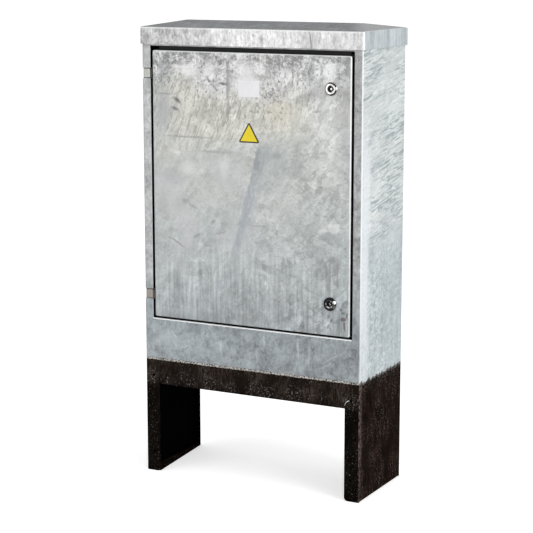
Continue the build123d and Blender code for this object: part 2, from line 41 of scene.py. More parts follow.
# Places on the pillar, in metres, as the solids have them
FRONT = -0.125
STOP_LIP = -0.099
OPENING_HALF = 0.277
OPENING_TOP = 1.087
SILL = 0.403
PAINT_LINE = 0.300
LEG_TOP = 0.253
LEG_HOLE = (0.2755, 0.052)
LOCK_X = 0.2194
LOCK_HEIGHTS = {"upper": 0.9995, "lower": 0.4855}
HINGE_HEIGHTS = {"upper": 1.0205, "lower": 0.4645}
SIGN_CENTRE = 0.8785
SIGN_INRADIUS = 0.058 / (2 * math.sqrt(3))
SIGN_BORDER = 0.0034

# Dark sheets of painted shade in the small holes: place behind the front face, rim, crown and radii
SKIN_DEPTH = 0.0022
SKIN_RIM = 0.0003
SKIN_CROWN = 0.0009
RELIEF_SKIN_RADIUS = 0.0058
HOLE_SKIN_RADIUS = 0.0062
SKIN_RINGS, SKIN_SIDES = 7, 28

# Studio: floor, light levels and the camera, whose focal length is in pixels of the photograph
FLOOR_RADIUS, FLOOR_RINGS, FLOOR_SIDES = 120.0, 12, 48
FLOOR_GLOW = 0.50
WORLD_LIGHT, WORLD_SEEN = 0.58, 1.0
PHOTO_SIDE, FOCAL, SENSOR = 533.0, 1690.0, 36.0
CAMERA_TURN, CAMERA_RISE, CAMERA_DISTANCE = math.radians(27.64), math.radians(10.55), 4.2552
CAMERA_AIM = Vector((-0.018, 0.0, 0.536))
CAMERA_REACH = 400.0

# Metallic share of weathered zinc, and the sheen of the tar coat and of the painted shade in the holes
ZINC_METAL = 0.25
COAT_SHEEN, SKIN_SHEEN = 0.002, 0.02

# Linear colours of the zinc, in general and on the door
# painted highlight on the rounded bends of the sheets
BEND_HIGHLIGHT = (0.92, 0.93, 0.93, 1)
ZINC_PALE = (0.86, 0.865, 0.86, 1)
ZINC_CROWN = grey(0.62)
ZINC_WARM = (0.63, 0.625, 0.575, 1)
ZINC_RIGHT = (0.585, 0.598, 0.592, 1)
ZINC_MID = (0.505, 0.52, 0.505, 1)
ZINC_COOL = (0.445, 0.475, 0.475, 1)
ZINC_DEEP = (0.365, 0.40, 0.415, 1)
ZINC_DULL = (0.25, 0.255, 0.255, 1)
ZINC_SOOT = (0.17, 0.172, 0.172, 1)
DAB_PALE = (0.68, 0.695, 0.68, 1)
SCUFF_DULL = (0.28, 0.30, 0.305, 1)
BLUSH = (0.572, 0.562, 0.580, 1)
STROKE_BROWN = (0.27, 0.265, 0.235, 1)
FALL_BROWN = (0.28, 0.275, 0.26, 1)
EDGE_GREY = (0.36, 0.36, 0.37, 1)
TONGUE_COOL = (0.40, 0.43, 0.435, 1)
TRAIL_BLUE = (0.335, 0.365, 0.405, 1)
TRAIL_GREY = (0.28, 0.295, 0.31, 1)
PATCH_COOL = (0.385, 0.39, 0.405, 1)
PATCH_WARM = (0.70, 0.66, 0.57, 1)
FRECKLE = (0.28, 0.26, 0.22, 1)
SMUDGE = (0.13, 0.10, 0.105, 1)
NICK = (0.09, 0.09, 0.095, 1)

# Cabinet and canopy
FRONT_LOW = (0.316, 0.345, 0.360, 1)
FRONT_HIGH = (0.440, 0.447, 0.451, 1)
FASCIA_PALE = (0.62, 0.66, 0.675, 1)
FASCIA_DULL = (0.20, 0.22, 0.23, 1)
SIDE_LOW = (0.50, 0.552, 0.565, 1)
SIDE_HIGH = (0.632, 0.664, 0.667, 1)
SIDE_STROKE = (0.35, 0.405, 0.42, 1)
SIDE_HAIR = (0.27, 0.315, 0.33, 1)
SIDE_GLINT = (0.80, 0.82, 0.81, 1)
SIDE_REAR = (0.41, 0.46, 0.485, 1)
SIDE_BAND = (0.765, 0.80, 0.83, 1)
# painted shade on the left front corner's bend
BEND_LEFT_SHADE = (0.20, 0.205, 0.21, 1)
# painted shade on the head rail's lower edge
HEAD_SHADE = grey(0.022)
HEAD_EDGE = grey(0.46)
ROOF_FACE = grey(0.81)
ROOF_FACE_LEFT = grey(0.600)
ROOF_FACE_RIGHT = grey(0.70)
ROOF_BLOT = grey(0.28)
ROOF_DRIP = grey(0.42)
ROOF_SPECK = grey(0.32)
ROOF_STREAK = grey(0.24)
ROOF_FLANK = (0.452, 0.50, 0.524, 1)
ROOF_TOP = (0.110, 0.119, 0.126, 1)
ROOF_STREAM = (0.150, 0.185, 0.200, 1)
# painted light on the right hip facet of the canopy top
ROOF_HIP_LIGHT = (0.30, 0.31, 0.31, 1)
SHADE = grey(0.004)
SILL_SHADE = (0.022, 0.021, 0.020, 1)

# Tar coat
TAR = (0.0088, 0.0060, 0.0046, 1)
TAR_WORN = (0.040, 0.0305, 0.0252, 1)
TAR_SIDE = (0.0125, 0.0064, 0.0045, 1)
TAR_LEG = (0.0028, 0.0019, 0.0014, 1)
# painted shade inside the legs
TAR_INSIDE_SHADE = grey(0.0005)
# painted shade in the small holes
HOLE_SHADE_TONE = (0.0012, 0.0010, 0.0009, 1)
TAR_FLECK = (0.62, 0.60, 0.57, 1)
TAR_ROW = (0.125, 0.082, 0.066, 1)
TAR_SPATTER = (0.30, 0.28, 0.27, 1)
# wear and painted highlight along the front corners
TAR_WEAR_AND_HIGHLIGHT = (0.19, 0.145, 0.135, 1)

# Fittings, plates and what is inside
HINGE_GRIME = (0.20, 0.17, 0.14, 1)
# painted shade at the ends of the hinge knuckles
HINGE_END_SHADE = grey(0.03)
LOCK_DARKENED = grey(0.014)
# painted dark reflection on the lock rims, and painted shade behind the front face
LOCK_REFLECTION_AND_SHADE = grey(0.012)
# painted shade in the lock's key hollow
LOCK_RECESS_SHADE = grey(0.008)
# painted glints
LOCK_GLINT = (0.55, 0.55, 0.54, 1)
# painted highlight on the lock rim
LOCK_RIM_HIGHLIGHT = grey(0.95)
RUBBER_DUST = grey(0.03)
LABEL_WHITE = (0.84, 0.84, 0.86, 1)
SIGN_FACE = (0.82, 0.65, 0.010, 1)
SIGN_EDGE = (0.022, 0.018, 0.016, 1)
PLY_PALE = (0.46, 0.31, 0.17, 1)
PLY_DARK = (0.29, 0.175, 0.085, 1)
BRASS = (0.72, 0.50, 0.20, 1)
BRASS_TARNISH = (0.42, 0.26, 0.10, 1)
FLOOR_WHITE = grey(0.93)
WHITE = grey(1)

# Door's bands: from and to height, and the colour above
DOOR_BANDS = (
    (0.40, 0.60, ZINC_COOL),
    (0.60, 0.78, ZINC_MID),
    (0.82, 0.90, ZINC_WARM),
    (0.97, 1.03, ZINC_CROWN),
)

# Marks on the sheets: centre across and up, half sizes, tilt in degrees, weight and, where given, softness
DOOR_SOOTY = (
    ((-0.215, 1.058), (0.090, 0.026), 4, 0.80),
    ((-0.240, 1.008), (0.050, 0.026), 8, 0.70),
    ((-0.120, 1.000), (0.045, 0.014), 0, 0.45),
    ((0.120, 1.045), (0.070, 0.030), 0, 0.20),
    ((0.250, 1.000), (0.026, 0.060), 0, 0.40),
)
DOOR_COOL = (
    ((-0.243, 0.925), (0.036, 0.060), 0, 0.60),
    ((-0.218, 0.766), (0.050, 0.026), 0, 0.42),
    ((-0.243, 0.700), (0.018, 0.045), 0, 0.38),
    ((0.185, 0.985), (0.030, 0.045), 0, 0.34),
    ((0.200, 0.935), (0.022, 0.026), 0, 0.34),
)
DOOR_PALE = (
    ((0.226, 0.669), (0.021, 0.014), 12, 0.46, 0.45),
    ((0.203, 0.661), (0.024, 0.007), 20, 0.38, 0.60),
    ((-0.008, 1.010), (0.046, 0.070), 0, 0.62),
    ((0.030, 1.040), (0.026, 0.020), 0, 0.55),
    ((0.116, 0.980), (0.020, 0.024), 0, 0.55),
    ((-0.172, 1.028), (0.032, 0.022), 0, 0.60),
    ((-0.108, 1.030), (0.022, 0.022), 0, 0.55),
    ((0.212, 1.045), (0.026, 0.022), 0, 0.60),
    ((0.040, 0.545), (0.030, 0.008), -20, 0.28),
    ((-0.174, 0.792), (0.036, 0.026), 0, 0.30),
    ((-0.206, 0.829), (0.024, 0.009), 0, 0.35),
    ((-0.070, 0.800), (0.020, 0.040), 0, 0.26),
)
DOOR_DULL = (
    ((-0.058, 0.990), (0.0075, 0.110), 0, 0.62),
    ((-0.027, 0.932), (0.0060, 0.040), 0, 0.42),
    ((-0.072, 1.001), (0.020, 0.0045), -3, 0.80),
    ((-0.200, 0.957), (0.019, 0.0085), -35, 0.80),
    ((-0.207, 0.935), (0.017, 0.0060), -20, 0.70),
    ((-0.170, 0.868), (0.100, 0.0035), 0, 0.55),
    ((-0.090, 0.835), (0.075, 0.0045), 0, 0.38),
    ((-0.235, 0.971), (0.036, 0.0038), -2, 0.55),
    ((-0.205, 0.603), (0.040, 0.0040), -28, 0.66),
    ((-0.147, 0.624), (0.016, 0.0066), 38, 0.60),
    ((-0.160, 0.697), (0.024, 0.0050), -25, 0.46),
    ((-0.180, 0.708), (0.013, 0.0085), 0, 0.42),
    ((-0.101, 0.662), (0.012, 0.0066), 40, 0.62),
    ((-0.078, 0.636), (0.022, 0.0034), 18, 0.42),
    ((-0.116, 0.600), (0.024, 0.0034), 6, 0.38),
    ((-0.128, 0.516), (0.014, 0.0036), -35, 0.42),
    ((0.025, 0.660), (0.040, 0.0026), 0, 0.45),
    ((0.158, 0.636), (0.026, 0.0060), -35, 0.42),
    ((0.040, 0.562), (0.010, 0.0170), 25, 0.58),
    ((0.227, 0.592), (0.028, 0.016), 0, 0.65),
    ((0.208, 0.566), (0.011, 0.030), 10, 0.72),
    ((0.238, 0.572), (0.011, 0.032), -15, 0.72),
    ((0.215, 0.532), (0.010, 0.040), 0, 0.72),
    ((0.132, 0.815), (0.020, 0.075), 4, 0.26),
    ((0.148, 0.783), (0.014, 0.013), 0, 0.40),
    ((0.074, 0.833), (0.019, 0.013), 0, 0.40),
    ((-0.190, 0.456), (0.007, 0.020), 20, 0.50),
    ((0.165, 0.512), (0.030, 0.0040), -22, 0.45),
    ((0.180, 0.944), (0.013, 0.0050), 10, 0.55),
    ((0.205, 0.600), (0.090, 0.110), 0, 0.20, 0.95),
    ((0.015, 0.465), (0.140, 0.070), 0, 0.18, 0.95),
)
DOOR_SMUDGES = (
    ((0.254, 0.451), (0.0130, 0.0075), 10, 0.95),
    ((0.257, 0.435), (0.0042, 0.0200), 2, 0.95),
)
DOOR_NICKS = (
    ((0.2475, 0.4745), (0.0064, 0.0062), -40, 0.75),
    ((0.2530, 0.4665), (0.0072, 0.0046), -30, 0.70),
    ((0.2640, 0.4600), (0.0042, 0.0090), 0, 0.85),
    ((0.2160, 0.4540), (0.0042, 0.0100), -30, 0.68),
    ((0.2230, 0.4460), (0.0042, 0.0100), -30, 0.68),
    ((0.2150, 0.4300), (0.0040, 0.0095), -25, 0.58),
    ((0.2210, 0.4250), (0.0040, 0.0085), 25, 0.52),
    ((-0.200, 0.957), (0.0140, 0.0055), -35, 0.62),
    ((-0.207, 0.937), (0.0140, 0.0045), -20, 0.52),
    ((-0.072, 1.001), (0.0170, 0.0038), -3, 0.60),
)
FASCIA_RUNS = (
    ((0.134, 0.366), (0.0046, 0.040), 2, 0.42),
    ((0.164, 0.350), (0.0042, 0.046), 0, 0.28),
    ((0.205, 0.330), (0.040, 0.0022), 24, 0.30),
    ((0.225, 0.352), (0.045, 0.0020), 30, 0.30),
    ((0.020, 0.338), (0.0040, 0.030), 4, 0.30),
    ((-0.185, 0.335), (0.030, 0.0026), 28, 0.30),
    ((0.041, 0.375), (0.0045, 0.022), 0, 0.35),
    ((-0.080, 0.345), (0.0040, 0.034), 0, 0.35),
    ((-0.250, 0.352), (0.050, 0.020), 25, 0.30),
    ((-0.216, 0.364), (0.018, 0.0045), -50, 0.50),
)
FASCIA_STAINS = (
    ((-0.120, 0.356), (0.014, 0.008), -45, 0.30),
    ((-0.165, 0.382), (0.040, 0.012), 10, 0.25),
    ((0.245, 0.352), (0.022, 0.018), 0, 0.22),
)
ROOF_STREAKS = (
    ((0.166, 1.114), (0.0032, 0.034), 8, 0.85),
    ((0.034, 1.110), (0.0050, 0.014), 20, 0.55),
    ((0.014, 1.118), (0.0070, 0.0060), -30, 0.50),
    ((0.096, 1.116), (0.0030, 0.026), 5, 0.35),
    ((0.228, 1.114), (0.0060, 0.020), 0, 0.40),
    ((-0.285, 1.108), (0.014, 0.018), 0, 0.60),
)

# Marks on the locks, with centres from the middle of the lock: one painted highlight on the rim each, and the lower
# one's painted glints
LOCK_HIGHLIGHT_SPOTS = {
    "upper": ((0.0108, 0.0010), (0.0072, 0.0046), 0, 1.0, 0.40),
    "lower": ((0.0125, 0.0050), (0.0060, 0.0048), 0, 1.0, 0.40),
}
LOCK_GLINTS = {
    "upper": (),
    "lower": (
        ((0.0002, 0.0040), (0.0060, 0.0022), 45, 0.85),
        ((0.0022, -0.0020), (0.0034, 0.0034), 0, 0.90),
        ((-0.0044, -0.0080), (0.0070, 0.0026), -20, 0.80),
        ((0.0040, -0.0065), (0.0038, 0.0026), 30, 0.60),
        ((-0.0100, -0.0005), (0.0022, 0.0045), 0, 0.35),
        ((0.0115, -0.0055), (0.0050, 0.0075), -30, 0.22),
    ),
}


class Finish:
    """One procedural material: short calls for the nodes, all on the pieces' own Object coordinates."""

    def __init__(self, name):
        self.material = bpy.data.materials.new(name)
        self.material.use_nodes = True
        self.tree = self.material.node_tree
        self.shader = self.tree.nodes["Principled BSDF"]
        self.coords = self.tree.nodes.new("ShaderNodeTexCoord")
        place = self.tree.nodes.new("ShaderNodeSeparateXYZ")
        self.tree.links.new(self.coords.outputs["Object"], place.inputs[0])
        self.x, self.y, self.z = place.outputs
        facing = self.tree.nodes.new("ShaderNodeSeparateXYZ")
        self.tree.links.new(self.coords.outputs["Normal"], facing.inputs[0])
        self.nx, self.ny, self.nz = facing.outputs

    def put(self, socket, value):
        """Link a socket, or set it where the value is plain."""
        if isinstance(value, bpy.types.NodeSocket):
            self.tree.links.new(value, socket)
        else:
            socket.default_value = value

    def sum(self, kind, a, b=0.0, c=0.0):
        """One Math node."""
        node = self.tree.nodes.new("ShaderNodeMath")
        node.operation = kind
        for socket, value in zip(node.inputs, (a, b, c)):
            self.put(socket, value)
        return node.outputs[0]

    def times(self, *values):
        """Product of all the values."""
        total = values[0]
        for value in values[1:]:
            total = self.sum("MULTIPLY", total, value)
        return total

    def line(self, value, slope, start):
        """A value times a slope, plus a start."""
        return self.sum("MULTIPLY_ADD", value, slope, start)

    def rest(self, share):
        """What a share leaves of one."""
        return self.sum("SUBTRACT", 1.0, share)

    def size(self, value):
        """A value without its sign."""
        return self.sum("ABSOLUTE", value)

    def most(self, a, b):
        """The larger of two values."""
        return self.sum("MAXIMUM", a, b)

    def uneven(self, value, noise, reach):
        """A value pushed up and down by noise, over a reach in all."""
        return self.sum("ADD", value, self.line(noise, reach, -reach / 2))

    def step(self, value, low, high, out_low=0.0, out_high=1.0):
        """Smooth step of a value from one level to another."""
        node = self.tree.nodes.new("ShaderNodeMapRange")
        node.interpolation_type = "SMOOTHSTEP"
        names = ("Value", "From Min", "From Max", "To Min", "To Max")
        for name, part in zip(names, (value, low, high, out_low, out_high)):
            self.put(node.inputs[name], part)
        return node.outputs["Result"]

    def placed(self, scale, turn=(0, 0, 0), shift=(0, 0, 0)):
        """Object coordinates, turned by angles in degrees, moved and then scaled along their own axes."""
        turned = self.tree.nodes.new("ShaderNodeMapping")
        self.put(turned.inputs["Vector"], self.coords.outputs["Object"])
        turned.inputs["Rotation"].default_value = [math.radians(angle) for angle in turn]
        turned.inputs["Location"].default_value = shift
        scaled = self.tree.nodes.new("ShaderNodeMapping")
        self.put(scaled.inputs["Vector"], turned.outputs[0])
        scaled.inputs["Scale"].default_value = scale
        return scaled.outputs[0]

    def cloud(self, scale, detail=4.0, rough=0.55, bend=0.0, turn=(0, 0, 0), shift=(0, 0, 0)):
        """Noise value around 0.5, with a scale per axis."""
        node = self.tree.nodes.new("ShaderNodeTexNoise")
        self.put(node.inputs["Vector"], self.placed(scale, turn, shift))
        node.inputs["Scale"].default_value = 1.0
        node.inputs["Detail"].default_value = detail
        node.inputs["Roughness"].default_value = rough
        node.inputs["Distortion"].default_value = bend
        return node.outputs["Fac"]

    def patches(self, *shape, **more):
        """Noise stretched to run from 0 to 1."""
        return self.step(self.cloud(*shape, **more), 0.34, 0.66)

    def pulled(self, spot, grain, detail, amount, start):
        """A place moved by noise in all three directions, by up to an amount, on from a start."""
        pull = self.tree.nodes.new("ShaderNodeTexNoise")
        self.put(pull.inputs["Vector"], spot)
        pull.inputs["Scale"].default_value = grain
        pull.inputs["Detail"].default_value = detail
        moved = self.tree.nodes.new("ShaderNodeVectorMath")
        moved.operation = "MULTIPLY_ADD"
        self.put(moved.inputs[0], pull.outputs["Color"])
        moved.inputs[1].default_value = (amount, amount, amount)
        self.put(moved.inputs[2], start)
        return moved.outputs[0]

    def spangle(self, scale, bend, turn=(0, 0, 0)):
        """Grey level of each zinc crystal: cells whose borders are pulled about by noise."""
        spot = self.placed(scale, turn)
        moved = self.pulled(spot, 2.2, 4.0, bend, spot)
        cells = self.tree.nodes.new("ShaderNodeTexVoronoi")
        cells.inputs["Scale"].default_value = 1.0
        self.put(cells.inputs["Vector"], moved)
        level = self.tree.nodes.new("ShaderNodeSeparateColor")
        self.put(level.inputs[0], cells.outputs["Color"])
        return level.outputs[0]

    def mix(self, share, first, second):
        """Two colours mixed by a share."""
        node = self.tree.nodes.new("ShaderNodeMix")
        node.data_type = "RGBA"
        self.put(node.inputs[0], share)
        self.put(node.inputs[6], first)
        self.put(node.inputs[7], second)
        return node.outputs[2]

    def toned(self, colour, *terms):
        """A colour times one plus each term's weight times its distance from the middle level."""
        level = 1.0
        for value, weight in terms:
            level = self.line(self.sum("SUBTRACT", value, 0.5), weight, level)
        node = self.tree.nodes.new("ShaderNodeVectorMath")
        node.operation = "SCALE"
        self.put(node.inputs[0], colour if isinstance(colour, bpy.types.NodeSocket) else colour[:3])
        self.put(node.inputs["Scale"], level)
        return node.outputs[0]

    def rag(self, amount, grain):
        """Set the places across and up for the marks that follow, pulled about by noise for ragged outlines."""
        start = self.placed((1, 1, 1), shift=(-amount / 2, -amount / 2, -amount / 2))
        ragged = self.tree.nodes.new("ShaderNodeSeparateXYZ")
        self.put(ragged.inputs[0], self.pulled(self.coords.outputs["Object"], grain, 3.0, amount, start))
        self.across, _, self.upward = ragged.outputs

    def mark(self, centre, size, tilt=0.0, weight=1.0, soft=0.75):
        """One soft oval on the front sheet: half sizes across and up, tilted by degrees.

        It is worked out in plain sums, because many marks as vectors overfill one material."""
        cosine, sine = math.cos(math.radians(tilt)), math.sin(math.radians(tilt))
        squares = 0.0
        for a, b, half in ((cosine, sine, size[0]), (-sine, cosine, size[1])):
            offset = -(a * centre[0] + b * centre[1]) / half
            part = self.line(self.upward, b / half, offset)
            part = self.line(self.across, a / half, part)
            squares = self.line(part, part, squares)
        return self.step(self.sum("SQRT", squares), 1.0, 1.0 - soft, 0.0, weight)

    def marks(self, rows):
        """The strongest of several marks: each row has a centre, half sizes, a tilt and a weight."""
        total = 0.0
        for row in rows:
            total = self.most(total, self.mark(*row))
        return total

    def relief(self, height, distance, strength):
        """Bump from a height value."""
        node = self.tree.nodes.new("ShaderNodeBump")
        node.inputs["Strength"].default_value = strength
        node.inputs["Distance"].default_value = distance
        self.put(node.inputs["Height"], height)
        self.put(self.shader.inputs["Normal"], node.outputs[0])

    def surface(self, colour, roughness, metallic=0.0):
        """Set the shader's main sockets."""
        self.put(self.shader.inputs["Base Color"], colour)
        self.put(self.shader.inputs["Roughness"], roughness)
        self.put(self.shader.inputs["Metallic"], metallic)
        return self.material


def bends(f, first, second):
    """How far a surface faces between two directions, as the rounded bends of folded sheet do."""
    least = f.sum("MINIMUM", f.size(first), f.size(second))
    return f.step(least, 0.20, 0.48)


def ahead_of_lip(f):
    """1 in front of the stop lips, 0 inside the cabinet."""
    return f.step(f.y, STOP_LIP + 0.001, STOP_LIP - 0.001)


def door_ground(f, height):
    """Door's ground colour: bands by height, cooler at the upper left and greyer at the upper right."""
    colour = ZINC_DEEP
    for low, high, above in DOOR_BANDS:
        colour = f.mix(f.step(height, low, high), colour, above)
    left = f.times(f.step(f.x, -0.19, -0.25), f.step(f.z, 0.80, 0.90), 0.55)
    colour = f.mix(left, colour, ZINC_COOL)
    right = f.times(f.step(f.x, 0.10, 0.20), f.step(f.z, 0.80, 0.88), 0.75)
    return f.mix(right, colour, ZINC_RIGHT)


def door_dabs(f, colour, height):
    """Short crisp strokes below the warm part, pale and dull, at two slants each, and a faint blush on the left."""
    below_warm = f.times(f.step(height, 0.95, 0.84), f.step(f.x, -0.12, 0.08, 0.45, 1.0))
    for lean, shift, weight in ((42, 0.1, 0.42), (-62, 0.6, 0.36)):
        dabs = f.step(f.cloud((36, 36, 95), 5.0, 0.60, 1.0, (0, lean, 0), (shift, 0, 0.5)), 0.590, 0.615)
        colour = f.mix(f.times(dabs, below_warm, weight), colour, DAB_PALE)
    for lean, shift, weight in ((18, 0.0, 0.48), (-40, 0.3, 0.44)):
        scuffs = f.step(f.cloud((48, 48, 130), 5.0, 0.60, 1.0, (0, lean, 0), (shift, 0, 0.2)), 0.595, 0.620)
        colour = f.mix(f.times(scuffs, below_warm, weight), colour, SCUFF_DULL)
    blush = f.step(f.cloud((8, 8, 9), 3.0, 0.5, 0.6, shift=(0.9, 0, 0.1)), 0.44, 0.58)
    blush = f.times(blush, f.step(f.z, 0.52, 0.60), f.step(f.z, 0.85, 0.78), f.step(f.x, 0.06, -0.04), 0.40)
    return f.mix(blush, colour, BLUSH)


def door_top(f, colour, height, crown):
    """Top of the door: pale puffs, dark smoke, specks and pits."""
    puffs = f.step(f.cloud((24, 24, 22), 7.0, 0.70, 0.25, shift=(0.31, 0, 0.2)), 0.46, 0.60)
    colour = f.mix(f.times(puffs, crown, 0.90), colour, ZINC_PALE)
    smoke = f.step(f.cloud((20, 20, 26), 8.0, 0.84, 0.25, shift=(0.7, 0, 0)), 0.47, 0.57)
    colour = f.mix(f.times(smoke, f.step(f.z, 0.975, 1.06), 0.82), colour, ZINC_SOOT)
    specks = f.step(f.cloud((95, 95, 80), 5.0, 0.70, 0.3, shift=(0.2, 0, 0.1)), 0.56, 0.63)
    colour = f.mix(f.times(specks, f.step(height, 0.97, 1.04), 0.62), colour, ZINC_SOOT)
    pits = f.step(f.cloud((150, 150, 120), 4.0, 0.62, 0.5), 0.54, 0.66)
    return f.mix(f.times(pits, f.step(height, 0.86, 1.03, 0.12, 0.85)), colour, ZINC_SOOT)


def door_strokes(f, colour, height):
    """Slanting brush strokes through the warm part, upright falls to their right, and a grey right edge."""
    wide = f.step(f.cloud((190, 190, 34), 4.0, 0.6, 0.6, (0, -20, 0)), 0.52, 0.64, 0.0, 0.7)
    narrow = f.step(f.cloud((300, 300, 36), 3.0, 0.6, 0.4, (0, -22, 0), (0.4, 0, 0.3)), 0.59, 0.64)
    strokes = f.times(
        f.most(wide, narrow),
        f.step(height, 0.83, 0.88),
        f.step(height, 1.02, 0.97),
        f.step(f.x, 0.13, -0.05, 0.30, 0.72),
    )
    colour = f.mix(strokes, colour, STROKE_BROWN)
    falls = f.step(f.cloud((200, 200, 36), 4.0, 0.62, 0.4, shift=(0.6, 0, 0.2)), 0.53, 0.64)
    falls = f.times(falls, f.step(f.z, 0.90, 0.98), f.step(f.x, -0.05, 0.03), f.step(f.x, 0.21, 0.13), 0.85)
    colour = f.mix(falls, colour, FALL_BROWN)
    beside = f.times(f.step(f.x, 0.225, 0.262), f.step(height, 0.70, 0.86), 0.42)
    return f.mix(beside, colour, EDGE_GREY)


def door_tongue(f, colour, height):
    """Cool tongue that runs down from the right of the sign, with a dull broken trail along its left edge."""
    slant = f.sum("SUBTRACT", f.x, f.line(f.z, 0.276, -0.2110))
    slant = f.uneven(slant, f.cloud((30, 30, 22), 3.0), 0.022)
    tongue = f.times(
        f.step(slant, -0.003, 0.004),
        f.step(slant, 0.15, 0.03),
        f.step(height, 0.885, 0.820),
        f.step(f.z, 0.70, 0.80),
    )
    colour = f.mix(f.times(tongue, 0.55), colour, TONGUE_COOL)
    breadth = f.step(f.z, 0.50, 0.76, 0.020, 0.046)
    trail = f.times(
        f.step(slant, -0.003, 0.002),
        f.step(slant, breadth, f.times(breadth, 0.25)),
        f.step(f.z, 0.876, 0.836),
    )
    trail = f.times(trail, f.step(f.z, 0.50, 0.66, 0.12, 0.66), f.step(f.z, 0.88, 0.84, 0.80, 1.0))
    broken = f.step(f.cloud((90, 90, 34), 5.0, 0.70, 0.8, (0, -15, 0)), 0.42, 0.56, 0.50, 1.25)
    return f.mix(f.times(trail, broken), colour, f.mix(f.step(f.z, 0.72, 0.82), TRAIL_BLUE, TRAIL_GREY))


def door_patches(f, colour):
    """Sooty, cool and pale places, and a warm one with freckles round it."""
    grime = f.step(f.cloud((85, 85, 75), 6.0, 0.76, 0.3, shift=(0.6, 0, 0.4)), 0.43, 0.58)
    colour = f.mix(f.times(f.marks(DOOR_SOOTY), grime), colour, ZINC_SOOT)
    colour = f.mix(f.marks(DOOR_COOL), colour, PATCH_COOL)
    colour = f.mix(f.marks(DOOR_PALE), colour, ZINC_PALE)
    colour = f.mix(f.mark((0.085, 0.935), (0.065, 0.050), 0, 0.45), colour, PATCH_WARM)
    freckles = f.step(f.cloud((120, 120, 105), 4.0, 0.62, 0.5, shift=(0.3, 0, 0.8)), 0.53, 0.62)
    spread = f.mark((0.055, 0.955), (0.125, 0.085), 0, 0.80)
    return f.mix(f.times(freckles, spread), colour, FRECKLE)


def door_stains(f, colour):
    """Stains, rubs and scratches, dark nicks round the lower lock, and a dull foot."""
    f.rag(0.009, 75.0)
    colour = f.mix(f.marks(DOOR_DULL), colour, ZINC_DULL)
    f.rag(0.005, 110.0)
    colour = f.mix(f.marks(DOOR_SMUDGES), colour, SMUDGE)
    colour = f.mix(f.marks(DOOR_NICKS), colour, NICK)
    foot = f.times(f.step(f.z, 0.46, 0.41), f.patches((40, 40, 14), 4.0, 0.6))
    return f.mix(f.times(foot, 0.35), colour, ZINC_DULL)


def door_edges(f, colour):
    """Painted highlights on the right and top bends and on a strip beside the right one, painted shade inside the gap.
    """
    right = f.times(bends(f, f.nx, f.ny), f.step(f.x, 0.20, 0.25), f.step(f.z, 0.45, 0.95, 0.55, 0.95))
    top = f.times(bends(f, f.nz, f.ny), f.step(f.z, 1.00, 1.05, 0.0, 0.8))
    bright = f.most(right, top)
    edging = f.times(
        f.step(f.x, 0.2668, 0.2678), f.step(f.ny, -0.70, -0.85), f.step(f.z, 0.45, 0.95, 0.12, 0.35)
    )
    colour = f.mix(f.most(bright, edging), colour, BEND_HIGHLIGHT)
    sideways = f.most(f.size(f.nx), f.size(f.nz))
    gap = f.times(f.step(f.y, FRONT + 0.0022, FRONT + 0.0036), f.step(sideways, 0.80, 0.93))
    return f.mix(gap, colour, SHADE)


def door_zinc():
    """Door: clouded and speckled at the top, warm under that, cool and patchy below, with soft runs at the foot."""
    f = Finish("door_zinc")
    f.rag(0.020, 60.0)
    height = f.uneven(f.z, f.cloud((6, 6, 5), 3.0), 0.24)
    colour = door_ground(f, height)
    crown = f.step(height, 0.96, 1.04)
    lower = f.step(height, 0.64, 0.50)
    # large soft crystals and patches, with a fine feathery grain
    crystals = f.spangle((26, 26, 36), 0.5)
    broad = f.patches((9, 9, 11), 4.0, 0.6, 1.6)
    feathers = f.patches((55, 55, 85), 5.0, 0.68, 2.0, (0, 30, 0))
    fine = f.patches((210, 210, 170), 3.0, 0.6)
    leaves = f.spangle((38, 38, 76), 0.6, (0, 58, 0))
    busy = f.patches((7, 7, 6), 3.0, 0.5, shift=(0.3, 0, 0.7))
    busy = f.line(f.sum("ADD", busy, f.step(f.x, -0.05, 0.20, -0.15, 0.35)), 0.22, 0.10)
    colour = f.toned(colour, (crystals, busy), (leaves, busy), (broad, 0.15), (feathers, 0.12), (fine, 0.08))
    colour = door_dabs(f, colour, height)
    # runs and pools at the foot
    runs = f.patches((135, 135, 7), 5.0, 0.70, 0.3)
    pools = f.patches((17, 17, 9), 4.0, 0.6, 1.0, shift=(0.2, 0, 0.6))
    colour = f.toned(colour, (runs, f.times(lower, 0.40)), (pools, f.times(lower, 0.26)))
    colour = door_top(f, colour, height, crown)
    colour = door_strokes(f, colour, height)
    colour = door_tongue(f, colour, height)
    colour = door_patches(f, colour)
    colour = door_stains(f, colour)
    colour = door_edges(f, colour)
    # plain on the inside
    rearward = f.step(f.ny, 0.4, 0.7)
    colour = f.mix(rearward, colour, f.toned(ZINC_COOL, (crystals, 0.12), (feathers, 0.12)))
    f.relief(f.line(broad, 1.0, f.times(crystals, 0.25)), 0.0010, 0.12)
    return f.surface(colour, f.line(feathers, 0.14, 0.42), ZINC_METAL)


def front_zinc(f, height):
    """Colour of the cabinet's front sheet: cool and blotched, paler upwards, and lighter to the left as painted light.
    """
    colour = f.mix(f.step(height, 0.42, 0.62), FRONT_LOW, FRONT_HIGH)
    return f.toned(
        colour,
        # lighter to the left: painted light
        (f.step(f.x, 0.30, -0.30), 0.18),
        (f.patches((90, 90, 12), 5.0, 0.62), 0.12),
        (f.patches((17, 17, 15), 4.0, 0.6, 0.8), 0.24),
        (f.patches((60, 60, 50), 6.0, 0.80, 0.8), 0.34),
        (f.patches((170, 170, 120), 5.0, 0.70, 0.6), 0.26),
        (f.spangle((34, 34, 60), 0.8, (0, 30, 0)), 0.22),
    )


